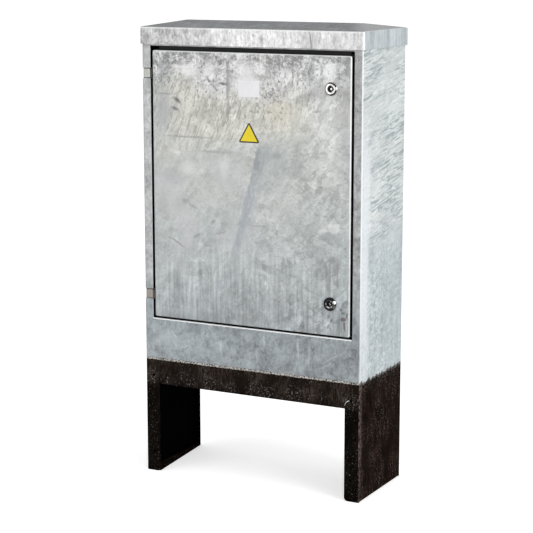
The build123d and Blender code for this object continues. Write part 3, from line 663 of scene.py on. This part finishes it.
def side_zinc(f, height):
    """Colour of the cabinet's sides: long feathery strokes above, cool and even below, a pale band by the corner."""
    colour = f.mix(f.step(height, 0.60, 0.72), SIDE_LOW, SIDE_HIGH)
    colour = f.toned(colour, (f.patches((7, 7, 9), 4.0, 0.55, 0.8), 0.16))
    clusters = f.patches((3, 6, 15), 3.0, 0.5, 0.6, (-7, 0, 0), (0.2, 0.4, 0))
    strokes = f.cloud((15, 15, 135), 5.0, 0.62, 1.5, (-9, 0, 0))
    dark = f.times(
        f.step(strokes, 0.50, 0.58), f.step(clusters, 0.15, 0.85, 0.22, 0.95), f.step(height, 0.46, 0.76, 0.42, 1.0)
    )
    colour = f.mix(dark, colour, SIDE_STROKE)
    hairs = f.step(f.cloud((16, 16, 330), 3.0, 0.6, 0.8, (-11, 0, 0)), 0.56, 0.66)
    hairs = f.times(hairs, f.step(clusters, 0.2, 0.8, 0.35, 1.0), f.step(height, 0.48, 0.72, 0.3, 0.75))
    colour = f.mix(hairs, colour, SIDE_HAIR)
    glints = f.step(strokes, 0.45, 0.36)
    colour = f.mix(f.times(glints, f.step(height, 0.52, 0.74, 0.10, 0.60)), colour, SIDE_GLINT)
    upright = f.patches((85, 85, 9), 5.0, 0.62)
    feathers = f.patches((45, 45, 75), 5.0, 0.70, 1.6, (-20, 0, 0))
    below = f.step(height, 0.70, 0.54)
    colour = f.toned(colour, (upright, f.times(below, 0.18)), (feathers, f.times(below, 0.46)))
    behind = f.times(f.step(f.y, -0.03, 0.06), f.step(height, 0.66, 0.56), 0.40)
    colour = f.mix(behind, colour, SIDE_REAR)
    edge = f.uneven(f.y, f.cloud((40, 40, 9), 4.0, 0.6), 0.040)
    band = f.times(
        f.step(edge, FRONT + 0.060, FRONT + 0.026), f.step(height, 0.96, 0.82), f.step(f.z, 0.32, 0.50, 0.45, 0.80)
    )
    colour = f.mix(band, colour, SIDE_BAND)
    return f.toned(colour, (f.patches((150, 150, 110), 4.0, 0.6), 0.12))


def coat_root(f, zinc):
    """Lay the tar coat over the zinc below the paint line: ragged on the sides, near straight and flecked on the
    front."""
    plain = f.step(f.size(f.ny), 0.5, 0.8)
    wave = f.sum("SUBTRACT", f.patches((80, 80, 22), 5.0, 0.68), 0.5)
    level = f.sum("ADD", f.z, f.times(wave, f.line(plain, -0.0075, 0.0095)))
    coat = f.step(level, PAINT_LINE + 0.0010, PAINT_LINE - 0.0010)
    brush = f.patches((260, 260, 75), 3.0, 0.6)
    tar = f.mix(f.times(brush, f.patches((22, 22, 12), 4.0, 0.6)), TAR, TAR_WORN)
    sideways = f.line(plain, -0.75, 0.75)
    tar = f.mix(sideways, tar, f.toned(TAR_SIDE, (f.patches((60, 60, 26), 5.0, 0.7), 1.3)))
    tar = f.toned(tar, (plain, 0.60))
    # thicker and darker on the legs, and black inside them as painted shade
    below = f.step(f.z, LEG_TOP + 0.010, LEG_TOP - 0.040)
    tar = f.mix(f.times(f.step(f.ny, -0.5, -0.8), below, 0.85), tar, TAR_LEG)
    inward = f.step(f.times(f.nx, f.sum("SIGN", f.x)), -0.4, -0.8)
    behind = f.times(f.step(f.y, 0.0, 0.1), f.step(f.ny, -0.3, -0.7))
    hidden = f.times(f.most(inward, behind), f.step(f.z, 0.28, 0.26))
    tar = f.mix(hidden, tar, TAR_INSIDE_SHADE)
    # pale flecks where the coat is thin, along its upper edge and just under it on the sides
    grains = f.cloud((520, 520, 230), 2.0, 0.5, shift=(0.1, 0.2, 0.3))
    thin = f.cloud((26, 26, 12), 4.0, 0.6, shift=(0.5, 0.1, 0.2))
    flecks = f.times(f.step(grains, 0.645, 0.715), f.step(thin, 0.38, 0.62), f.rest(hidden))
    near_line = f.step(f.size(f.sum("SUBTRACT", level, PAINT_LINE - 0.0030)), 0.0036, 0.0014)
    edge = f.times(
        near_line,
        f.step(f.cloud((240, 240, 240), 3.0, 0.7), 0.42, 0.54),
        f.step(thin, 0.30, 0.58, 0.55, 1.2),
        f.line(plain, 0.70, 0.25),
    )
    under = f.times(
        f.step(level, PAINT_LINE - 0.040, PAINT_LINE - 0.004), f.rest(plain), f.step(grains, 0.60, 0.66), 0.32
    )
    tar = f.mix(f.most(f.most(f.times(flecks, 0.55), under), edge), tar, TAR_FLECK)
    # upright rows of flecks on the sides, a few along the front's lower edge
    coarse = f.cloud((310, 310, 230), 2.0, 0.5, shift=(0.2, 0.6, 0.1))
    rows = f.step(f.cloud((240, 240, 22), 3.0, 0.6, shift=(0.3, 0.1, 0.6)), 0.48, 0.62)
    rows = f.times(rows, f.step(coarse, 0.46, 0.62))
    rows = f.times(rows, f.step(thin, 0.38, 0.62), f.rest(plain), f.rest(hidden))
    tar = f.mix(f.times(rows, 0.85), tar, TAR_ROW)
    lowest = f.step(f.z, LEG_TOP + 0.026, LEG_TOP - 0.004)
    lowest = f.times(lowest, f.step(f.z, LEG_TOP - 0.024, LEG_TOP - 0.018), plain)
    lowest = f.times(lowest, f.step(coarse, 0.58, 0.68), f.step(thin, 0.40, 0.60), f.rest(hidden))
    tar = f.mix(f.times(lowest, 0.60), tar, TAR_SPATTER)
    # worn, and with a painted highlight, along the front corners
    beside = f.times(f.step(f.y, FRONT + 0.0180, FRONT + 0.0050, 0.0, 0.9), f.step(f.size(f.nx), 0.5, 0.8))
    corner = f.times(
        f.most(bends(f, f.nx, f.ny), beside), f.step(f.size(f.x), 0.2945, 0.2965), f.step(f.y, -0.09, -0.10)
    )
    wear_and_highlight = f.times(
        corner,
        f.step(f.cloud((260, 260, 110), 4.0, 0.74), 0.45, 0.60, 0.10, 1.0),
        f.step(f.z, 0.02, 0.16, 0.50, 1.0),
        f.rest(hidden),
    )
    tar = f.mix(f.times(wear_and_highlight, 0.80), tar, TAR_WEAR_AND_HIGHLIGHT)
    f.relief(f.sum("ADD", f.times(brush, coat), f.times(grains, 0.3)), 0.0004, 0.2)
    f.shader.inputs["Specular IOR Level"].default_value = COAT_SHEEN
    colour = f.mix(coat, zinc, tar)
    return f.surface(colour, f.line(coat, 0.22, 0.46), f.line(coat, -ZINC_METAL, ZINC_METAL))


def cabinet_zinc(name):
    """Folded side sheet: front and side patterns by the way it faces, a painted highlight on the right front corner's
    bend and painted shade on the left one's, painted shade in the door gap, tarred at the root.
    """
    f = Finish(name)
    height = f.uneven(f.z, f.cloud((5, 5, 4), 3.0), 0.24)
    forward = f.step(f.ny, -0.45, -0.80)
    zinc = f.mix(forward, side_zinc(f, height), front_zinc(f, height))
    # painted highlight on the right front corner's bend, painted shade on the left one's
    corner = f.times(bends(f, f.nx, f.ny), f.step(f.size(f.x), 0.288, 0.292))
    corner = f.times(corner, f.step(f.y, 0.0, -0.05, 0.5, 0.95), f.step(f.z, 0.36, 0.62, 0.40, 0.70))
    zinc = f.mix(corner, zinc, f.mix(f.step(f.x, -0.1, 0.1), BEND_LEFT_SHADE, BEND_HIGHLIGHT))
    # painted shade in the door gap
    inward = f.step(f.size(f.x), OPENING_HALF + 0.0030, OPENING_HALF + 0.0015)
    gap = f.times(inward, f.step(f.y, FRONT + 0.0015, FRONT + 0.0035), ahead_of_lip(f))
    return coat_root(f, f.mix(gap, zinc, SHADE))


def fascia_zinc(name):
    """Fascia and back: front pattern with a few pale runs, a painted highlight on the sill's bend, painted shade behind
    the door's edge, tarred at the root."""
    f = Finish(name)
    f.rag(0.010, 55.0)
    height = f.uneven(f.z, f.cloud((5, 5, 4), 3.0), 0.24)
    zinc = front_zinc(f, height)
    face = f.step(f.y, 0.0, -0.05)
    zinc = f.mix(f.times(f.marks(FASCIA_RUNS), face), zinc, FASCIA_PALE)
    zinc = f.mix(f.times(f.marks(FASCIA_STAINS), face), zinc, FASCIA_DULL)
    # painted highlight on the sill's bend
    zinc = f.mix(f.times(bends(f, f.nz, f.ny), f.step(f.z, 0.80, 0.70), 0.97), zinc, BEND_HIGHLIGHT)
    # painted shade behind the door's bottom edge
    behind = f.times(
        f.step(f.y, FRONT + 0.0035, FRONT + 0.0060), ahead_of_lip(f), f.step(f.z, SILL - 0.006, SILL - 0.004)
    )
    return coat_root(f, f.mix(behind, zinc, SILL_SHADE))


def head_zinc():
    """Head rail, in the shelter of the canopy: painted shade along its lower edge, paler above the edge and inside."""
    f = Finish("head_zinc")
    head_mottle = f.patches((60, 60, 40), 4.0, 0.6)
    inside = f.toned(ZINC_COOL, (head_mottle, 0.2))
    above = f.step(f.z, OPENING_TOP + 0.0012, OPENING_TOP + 0.0024)
    # painted shade below the edge, zinc above it
    front = f.mix(above, f.toned(HEAD_SHADE, (head_mottle, 0.9)), f.toned(HEAD_EDGE, (head_mottle, 0.5)))
    colour = f.mix(ahead_of_lip(f), inside, front)
    return f.surface(colour, f.line(head_mottle, 0.15, 0.55), 0.15)


def roof_zinc():
    """Canopy: pale front with drips and dull ends, bluish sides with upright runs, darker weathered top, painted
    highlights along the front's top rim and on the corner bends, and painted light on the top's right hip.
    """
    f = Finish("roof_zinc")
    f.rag(0.006, 80.0)
    upright = f.patches((90, 90, 13), 5.0, 0.65, 0.4)
    broad = f.patches((10, 10, 8), 4.0, 0.6)
    mottle = f.patches((70, 70, 60), 5.0, 0.70, 0.6)
    blots = f.step(f.cloud((50, 50, 34), 8.0, 0.84, 0.4, shift=(0.4, 0, 0)), 0.470, 0.560)
    face = f.mix(f.step(f.x, -0.06, -0.16), ROOF_FACE, ROOF_FACE_LEFT)
    face = f.mix(f.step(f.x, 0.08, 0.16), face, ROOF_FACE_RIGHT)
    grit = f.patches((170, 170, 60), 5.0, 0.75)
    face = f.toned(face, (upright, 0.26), (broad, 0.14), (mottle, 0.28), (grit, 0.36))
    face = f.mix(f.times(blots, f.step(f.x, 0.0, -0.24, 0.16, 0.90)), face, ROOF_BLOT)
    drips = f.step(f.cloud((90, 90, 16), 5.0, 0.68, 0.8, shift=(0.1, 0, 0.3)), 0.56, 0.64)
    face = f.mix(f.times(drips, f.step(f.x, -0.10, 0.14, 0.15, 0.55)), face, ROOF_DRIP)
    specks = f.step(f.cloud((120, 120, 70), 5.0, 0.70, 0.4), 0.57, 0.65)
    face = f.mix(f.times(specks, f.step(f.x, 0.05, -0.20, 0.35, 0.60)), face, ROOF_SPECK)
    face = f.mix(f.marks(ROOF_STREAKS), face, ROOF_STREAK)
    # painted highlight along the top rim of the front
    face = f.mix(f.step(f.z, 1.1285, 1.1320, 0.0, 0.55), face, ZINC_PALE)
    flank = f.toned(ROOF_FLANK, (upright, 0.34), (broad, 0.14), (mottle, 0.14))
    sides = f.mix(f.step(f.size(f.nx), 0.5, 0.8), face, flank)
    grain = f.patches((75, 24, 24), 6.0, 0.80, 0.4)
    top = f.toned(ROOF_TOP, (broad, 0.30), (grain, 0.80))
    streams = f.step(f.cloud((60, 12, 12), 5.0, 0.7, 0.5, shift=(0.4, 0.2, 0)), 0.52, 0.64, 0.0, 0.55)
    top = f.mix(streams, top, ROOF_STREAM)
    # painted light: the right hip facet lighter than the rest of the top
    hip = f.step(f.sum("SUBTRACT", f.x, f.size(f.times(f.y, 0.5))), 0.200, 0.250)
    top = f.mix(f.times(hip, 0.8), top, f.toned(ROOF_HIP_LIGHT, (mottle, 0.3)))
    colour = f.mix(f.step(f.nz, 0.80, 0.96), sides, top)
    # painted highlights on the corner bends
    colour = f.mix(f.times(bends(f, f.nx, f.ny), 0.9), colour, BEND_HIGHLIGHT)
    f.relief(f.sum("ADD", broad, f.times(mottle, 0.2)), 0.0008, 0.12)
    return f.surface(colour, f.line(mottle, 0.14, 0.44), ZINC_METAL)


def plain_zinc(name, tint, grain=60.0):
    """Small galvanised or zinc-plated pieces: even grey with a faint grain."""
    f = Finish(name)
    colour = f.toned(tint, (f.cloud((grain, grain, grain), 4.0, 0.6), 0.35), (f.cloud((9, 9, 9), 3.0), 0.25))
    return f.surface(colour, f.line(f.cloud((grain, grain, grain), 3.0), 0.2, 0.30), 0.55)


def hinge_zinc(place, tint, gap):
    """Hinge knuckles: dull zinc with brown grime, painted shade at both ends and where the strap crosses the door gap.
    """
    f = Finish(f"{place}_hinge_zinc")
    grime = f.step(f.cloud((120, 120, 90), 5.0, 0.65), 0.44, 0.66)
    colour = f.mix(f.times(grime, 0.35), tint, HINGE_GRIME)
    from_middle = f.size(f.sum("SUBTRACT", f.z, HINGE_HEIGHTS[place]))
    # painted shade at both ends
    colour = f.mix(f.times(f.step(from_middle, 0.0098, 0.0112), 0.85), colour, HINGE_END_SHADE)
    # painted shade where the strap crosses the door gap
    colour = f.mix(f.step(f.x, -OPENING_HALF - 0.0012, -OPENING_HALF + 0.0004, 0.0, gap), colour, SHADE)
    return f.surface(colour, f.line(grime, 0.2, 0.42), ZINC_METAL)


def on_lock(place, row):
    """A mark's row, with its centre taken from the middle of one lock."""
    (x, z), *more = row
    return ((LOCK_X + x, LOCK_HEIGHTS[place] + z), *more)


def lock_chrome(place, tint, soil, rim_starts):
    """Lock in polished chrome, darkened by a share, with painted shade in the key hollow, a painted dark reflection
    from the rim's start at the right and at the left, painted glints on its face and one painted highlight on the rim."""
    f = Finish(f"{place}_lock_chrome")
    f.rag(0.0012, 300.0)
    a = f.sum("SUBTRACT", f.x, LOCK_X)
    b = f.sum("SUBTRACT", f.z, LOCK_HEIGHTS[place])
    far = f.sum("SQRT", f.sum("ADD", f.times(a, a), f.times(b, b)))
    haze = f.cloud((300, 300, 300), 3.0)
    chrome = f.mix(soil, f.toned(tint, (haze, 0.3)), LOCK_DARKENED)
    start = f.step(a, 0.002, -0.010, *rim_starts)
    rim = f.times(f.step(f.sum("SUBTRACT", far, start), 0.0, 0.0006), f.step(far, 0.0161, 0.0154, 0.30, 1.0))
    # painted dark reflection on the rim
    colour = f.mix(f.times(rim, 0.97), chrome, LOCK_REFLECTION_AND_SHADE)
    left = f.sum("ADD", a, 0.0014)
    near = f.sum("SQRT", f.sum("ADD", f.times(left, left), f.times(b, b)))
    recess = f.times(
        f.step(near, 0.0092, 0.0082), f.step(near, 0.0034, 0.0044), f.step(a, 0.0030, -0.0005, 0.30, 1.0)
    )
    # painted shade in the key hollow
    colour = f.mix(f.times(recess, 0.97), colour, LOCK_RECESS_SHADE)
    # painted glints on the face
    colour = f.mix(f.marks([on_lock(place, row) for row in LOCK_GLINTS[place]]), colour, LOCK_GLINT)
    # painted shade behind the front face
    colour = f.mix(f.step(f.y, FRONT - 0.0002, FRONT + 0.0010), colour, LOCK_REFLECTION_AND_SHADE)
    # painted highlight on the rim
    colour = f.mix(f.mark(*on_lock(place, LOCK_HIGHLIGHT_SPOTS[place])), colour, LOCK_RIM_HIGHLIGHT)
    return f.surface(colour, f.line(haze, 0.1, 0.10), 1.0)


def seal_rubber():
    """Door seal: black rubber with a dusty bloom."""
    f = Finish("seal_rubber")
    dust = f.cloud((40, 40, 40), 5.0, 0.65)
    return f.surface(f.mix(f.times(dust, 0.25), SHADE, RUBBER_DUST), f.line(dust, 0.2, 0.6))


def label_white():
    """Bare white plate, a little soiled."""
    f = Finish("label_white")
    soil = f.cloud((45, 45, 45), 4.0, 0.6)
    return f.surface(f.toned(LABEL_WHITE, (soil, 0.14)), f.line(soil, 0.15, 0.35))


def sign_yellow():
    """Bare yellow three-cornered plate with a narrow dark edge: distance to the nearest of its three sides."""
    f = Finish("sign_yellow")
    up = f.sum("SUBTRACT", f.z, SIGN_CENTRE)
    reach = 1.0
    for angle in (-90, 30, 150):
        out_x, out_z = math.cos(math.radians(angle)), math.sin(math.radians(angle))
        run = f.line(f.x, out_x, f.times(up, out_z))
        reach = f.sum("MINIMUM", reach, f.sum("SUBTRACT", SIGN_INRADIUS, run))
    soil = f.cloud((60, 60, 60), 4.0, 0.6)
    yellow = f.toned(SIGN_FACE, (soil, 0.18))
    colour = f.mix(f.step(reach, SIGN_BORDER + 0.0004, SIGN_BORDER - 0.0004), yellow, SIGN_EDGE)
    return f.surface(colour, f.line(soil, 0.15, 0.34))


def board_ply():
    """Mounting board: plywood face with long upright grain."""
    f = Finish("board_ply")
    grain = f.cloud((55, 55, 3.2), 6.0, 0.65, 1.4)
    fleck = f.cloud((160, 160, 12), 3.0)
    colour = f.mix(f.step(grain, 0.35, 0.68), PLY_PALE, PLY_DARK)
    return f.surface(f.toned(colour, (fleck, 0.3)), f.line(grain, 0.2, 0.5))


def moulded(name, tint, roughness):
    """Moulded plastic: even colour with a fine grain and handling marks."""
    f = Finish(name)
    grain = f.cloud((400, 400, 400), 2.0)
    marks = f.cloud((30, 30, 30), 5.0, 0.65)
    f.relief(grain, 0.0002, 0.12)
    return f.surface(f.toned(tint, (marks, 0.14), (grain, 0.06)), f.line(marks, 0.16, roughness - 0.08))


def bar_brass():
    """Terminal bars and their screws: brass with a faint tarnish."""
    f = Finish("bar_brass")
    tarnish = f.cloud((50, 50, 50), 5.0, 0.65)
    colour = f.mix(f.step(tarnish, 0.42, 0.70), BRASS, BRASS_TARNISH)
    return f.surface(colour, f.line(tarnish, 0.2, 0.22), 1.0)


# Finishes of the CAD nodes, by name or by the end of the name
finishes = {
    "left_side": cabinet_zinc("left_side_zinc"),
    "right_side": cabinet_zinc("right_side_zinc"),
    "front_fascia": fascia_zinc("fascia_zinc"),
    "back_panel": fascia_zinc("back_zinc"),
    "head_rail": head_zinc(),
    "roof_canopy": roof_zinc(),
    "door_panel": door_zinc(),
    "door_stiffener": plain_zinc("stiffener_zinc", ZINC_MID),
    "cable_rail": plain_zinc("rail_zinc", ZINC_MID),
    "_board_channel": plain_zinc("channel_zinc", ZINC_MID),
    "upper_hinge_leaf": hinge_zinc("upper", (0.52, 0.52, 0.495, 1), gap=0.96),
    "lower_hinge_leaf": hinge_zinc("lower", (0.32, 0.295, 0.265, 1), gap=0.80),
    "_hinge_lugs": plain_zinc("hinge_lug_zinc", (0.36, 0.35, 0.31, 1), 90.0),
    "_hinge_pin": plain_zinc("hinge_pin_steel", (0.45, 0.44, 0.42, 1), 200.0),
    "upper_lock_body": lock_chrome("upper", (0.85, 0.85, 0.84, 1), soil=0.0, rim_starts=(0.0112, 0.0136)),
    "lower_lock_body": lock_chrome("lower", (0.62, 0.62, 0.63, 1), soil=0.93, rim_starts=(0.0104, 0.0104)),
    "_lock_nut": plain_zinc("lock_nut_zinc", (0.60, 0.60, 0.57, 1), 150.0),
    "_lock_cam": plain_zinc("lock_cam_zinc", (0.58, 0.56, 0.48, 1), 150.0),
    "_cam_screw": plain_zinc("cam_screw_zinc", (0.60, 0.60, 0.58, 1), 200.0),
    "door_seal": seal_rubber(),
    "label_plate": label_white(),
    "sign_plate": sign_yellow(),
    "mounting_board": board_ply(),
    "board_bolts": plain_zinc("board_bolt_zinc", (0.62, 0.62, 0.60, 1), 200.0),
    "din_rail": plain_zinc("device_rail_zinc", (0.62, 0.62, 0.58, 1), 120.0),
    "_earth_stud": plain_zinc("earth_stud_zinc", (0.60, 0.60, 0.56, 1), 200.0),
    "_toggle": moulded("toggle_black", (0.020, 0.020, 0.022, 1), 0.42),
    "main_switch": moulded("switch_grey", (0.52, 0.53, 0.52, 1), 0.45),
    "breaker_1": moulded("breaker_grey", (0.60, 0.61, 0.60, 1), 0.45),
    "_bar_posts": moulded("post_red", (0.28, 0.045, 0.030, 1), 0.40),
    "_bar_screws": bar_brass(),
}
finishes["left_leg"] = finishes["left_side"]
finishes["right_leg"] = finishes["right_side"]
finishes["breaker_2"] = finishes["breaker_3"] = finishes["breaker_1"]
finishes["upper_lock_rotor"] = finishes["upper_lock_body"]
finishes["lower_lock_rotor"] = finishes["lower_lock_body"]
finishes["neutral_bar"] = finishes["earth_bar"] = finishes["_bar_screws"]

for name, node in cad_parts.items():
    ending = next((key for key in finishes if key.startswith("_") and name.endswith(key)), None)
    node.data.materials.clear()
    node.data.materials.append(finishes.get(name) or finishes[ending])


def shade_sheet(name, x, z, radius, finish):
    """Dark sheet of painted shade over the back of a small hole: a flat round face and, behind it, a low rim and a dome
    that falls with the square of the distance from the middle."""
    share = np.linspace(0.0, 1.0, SKIN_RINGS)[1:]
    angle = np.linspace(0.0, 2.0 * np.pi, SKIN_SIDES, endpoint=False)
    around = np.stack([np.cos(angle), np.zeros(SKIN_SIDES), np.sin(angle)], -1)
    flat = share[:, None, None] * radius * around
    rise = SKIN_RIM + SKIN_CROWN * (1.0 - share[::-1, None, None] ** 2)
    dome = flat[::-1] + np.array([0.0, 1.0, 0.0]) * rise
    rows = np.concatenate([flat, dome]).reshape(-1, 3)
    points = np.concatenate([[[0.0, 0.0, 0.0]], rows, [[0.0, SKIN_RIM + SKIN_CROWN, 0.0]]])
    points = points + np.array([x, FRONT + SKIN_DEPTH, z])
    here = np.arange(SKIN_SIDES)
    after = (here + 1) % SKIN_SIDES
    faces = [[0, 1 + a, 1 + b] for a, b in zip(here.tolist(), after.tolist())]
    last_row = 2 * len(share) - 1
    for row in range(last_row):
        inner = 1 + row * SKIN_SIDES
        outer = inner + SKIN_SIDES
        faces += np.stack([inner + here, outer + here, outer + after, inner + after], -1).tolist()
    last = 1 + last_row * SKIN_SIDES
    faces += [[last + a, len(points) - 1, last + b] for a, b in zip(here.tolist(), after.tolist())]
    mesh = bpy.data.meshes.new(name)
    mesh.from_pydata(points.tolist(), [], faces)
    mesh.materials.append(finish)
    skin = bpy.data.objects.new(name, mesh)
    bpy.context.scene.collection.objects.link(skin)
    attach(skin, "cabinet")


def hole_shade():
    """Painted shade in the small holes: black, with a faint sheen."""
    f = Finish("hole_shade")
    lumps = f.cloud((300, 300, 300), 3.0)
    f.relief(lumps, 0.0004, 0.3)
    f.shader.inputs["Specular IOR Level"].default_value = SKIN_SHEEN
    return f.surface(f.toned(HOLE_SHADE_TONE, (lumps, 1.2)), f.line(lumps, 0.2, 0.55))


# dark sheets of painted shade in the relief holes and the leg holes
hole_shade_finish = hole_shade()
for side, way in (("left", -1), ("right", 1)):
    shade_sheet(f"{side}_relief_shade", way * OPENING_HALF, LEG_TOP, RELIEF_SKIN_RADIUS, hole_shade_finish)
    shade_sheet(f"{side}_leg_hole_shade", way * LEG_HOLE[0], LEG_HOLE[1], HOLE_SKIN_RADIUS, hole_shade_finish)


def disc(radius, rings, sides):
    """Flat round floor: rings of points whose radius grows with the square of the ring's share."""
    share = np.linspace(0.0, 1.0, rings) ** 2
    angle = np.linspace(0.0, 2.0 * np.pi, sides, endpoint=False)
    grid = np.stack([np.outer(share, np.cos(angle)), np.outer(share, np.sin(angle)), np.zeros((rings, sides))], -1)
    ring, side = np.meshgrid(np.arange(rings - 1), np.arange(sides), indexing="ij")
    inner, outer, after = ring * sides, (ring + 1) * sides, (side + 1) % sides
    faces = np.stack([inner + side, outer + side, outer + after, inner + after], -1)
    return (grid * radius).reshape(-1, 3), faces.reshape(-1, 4)


floor_points, floor_faces = disc(FLOOR_RADIUS, FLOOR_RINGS, FLOOR_SIDES)
floor_mesh = bpy.data.meshes.new("studio_floor")
# one face with many corners closes the middle, where the rings start at a point
middle_face = list(range(FLOOR_SIDES, 2 * FLOOR_SIDES))
floor_mesh.from_pydata(floor_points.tolist(), [], floor_faces[FLOOR_SIDES:].tolist() + [middle_face])
floor = bpy.data.objects.new("studio_floor", floor_mesh)
bpy.context.scene.collection.objects.link(floor)
floor_finish = Finish("floor_white")
floor_mesh.materials.append(floor_finish.surface(FLOOR_WHITE, 0.9))


def soft_lamp(name, place, target, size, power):
    """Square soft box that faces a point."""
    data = bpy.data.lights.new(name, "AREA")
    data.size = size
    data.energy = power
    lamp = bpy.data.objects.new(name, data)
    lamp.location = place
    lamp.rotation_euler = (Vector(target) - Vector(place)).to_track_quat("-Z", "Y").to_euler()
    bpy.context.scene.collection.objects.link(lamp)


soft_lamp("right_softbox", place=(4.2, -1.6, 2.3), target=(0, 0, 0.6), size=2.0, power=85.0)
soft_lamp("left_softbox", place=(-2.4, -3.8, 2.4), target=(0, 0, 0.6), size=2.4, power=30.0)
soft_lamp("top_softbox", place=(0.2, -0.6, 3.8), target=(0, 0, 0.5), size=2.6, power=14.0)


def seen_rays(tree):
    """1 for what the camera, a reflection or glass shows, 0 for light on the pieces."""
    ray = tree.nodes.new("ShaderNodeLightPath")
    shown = ray.outputs["Is Camera Ray"]
    for kind in ("Is Glossy Ray", "Is Transmission Ray"):
        either = tree.nodes.new("ShaderNodeMath")
        either.operation = "MAXIMUM"
        tree.links.new(shown, either.inputs[0])
        tree.links.new(ray.outputs[kind], either.inputs[1])
        shown = either.outputs[0]
    return shown


# white where it is seen, dimmer as light on the pieces
world = bpy.data.worlds.new("studio_white")
bpy.context.scene.world = world
world.use_nodes = True
level = world.node_tree.nodes.new("ShaderNodeMapRange")
level.inputs["To Min"].default_value = WORLD_LIGHT
level.inputs["To Max"].default_value = WORLD_SEEN
world.node_tree.links.new(seen_rays(world.node_tree), level.inputs["Value"])
backdrop = world.node_tree.nodes["Background"]
backdrop.inputs["Color"].default_value = WHITE
world.node_tree.links.new(level.outputs["Result"], backdrop.inputs["Strength"])

# the floor shows white to the camera and keeps the pillar's shadow
floor_finish.shader.inputs["Emission Color"].default_value = WHITE
glow = floor_finish.times(seen_rays(floor_finish.tree), FLOOR_GLOW)
floor_finish.put(floor_finish.shader.inputs["Emission Strength"], glow)

camera_data = bpy.data.cameras.new("photo_camera")
camera_data.sensor_width = SENSOR
camera_data.lens = SENSOR * FOCAL / PHOTO_SIDE
camera_data.clip_end = CAMERA_REACH
camera = bpy.data.objects.new("photo_camera", camera_data)
bpy.context.scene.collection.objects.link(camera)
level_share = math.cos(CAMERA_RISE)
back = Vector((math.sin(CAMERA_TURN) * level_share, -math.cos(CAMERA_TURN) * level_share, math.sin(CAMERA_RISE)))
camera.location = CAMERA_AIM + back * CAMERA_DISTANCE
camera.rotation_euler = (-back).to_track_quat("-Z", "Y").to_euler()
bpy.context.scene.camera = camera
bpy.context.scene.view_settings.view_transform = "Standard"
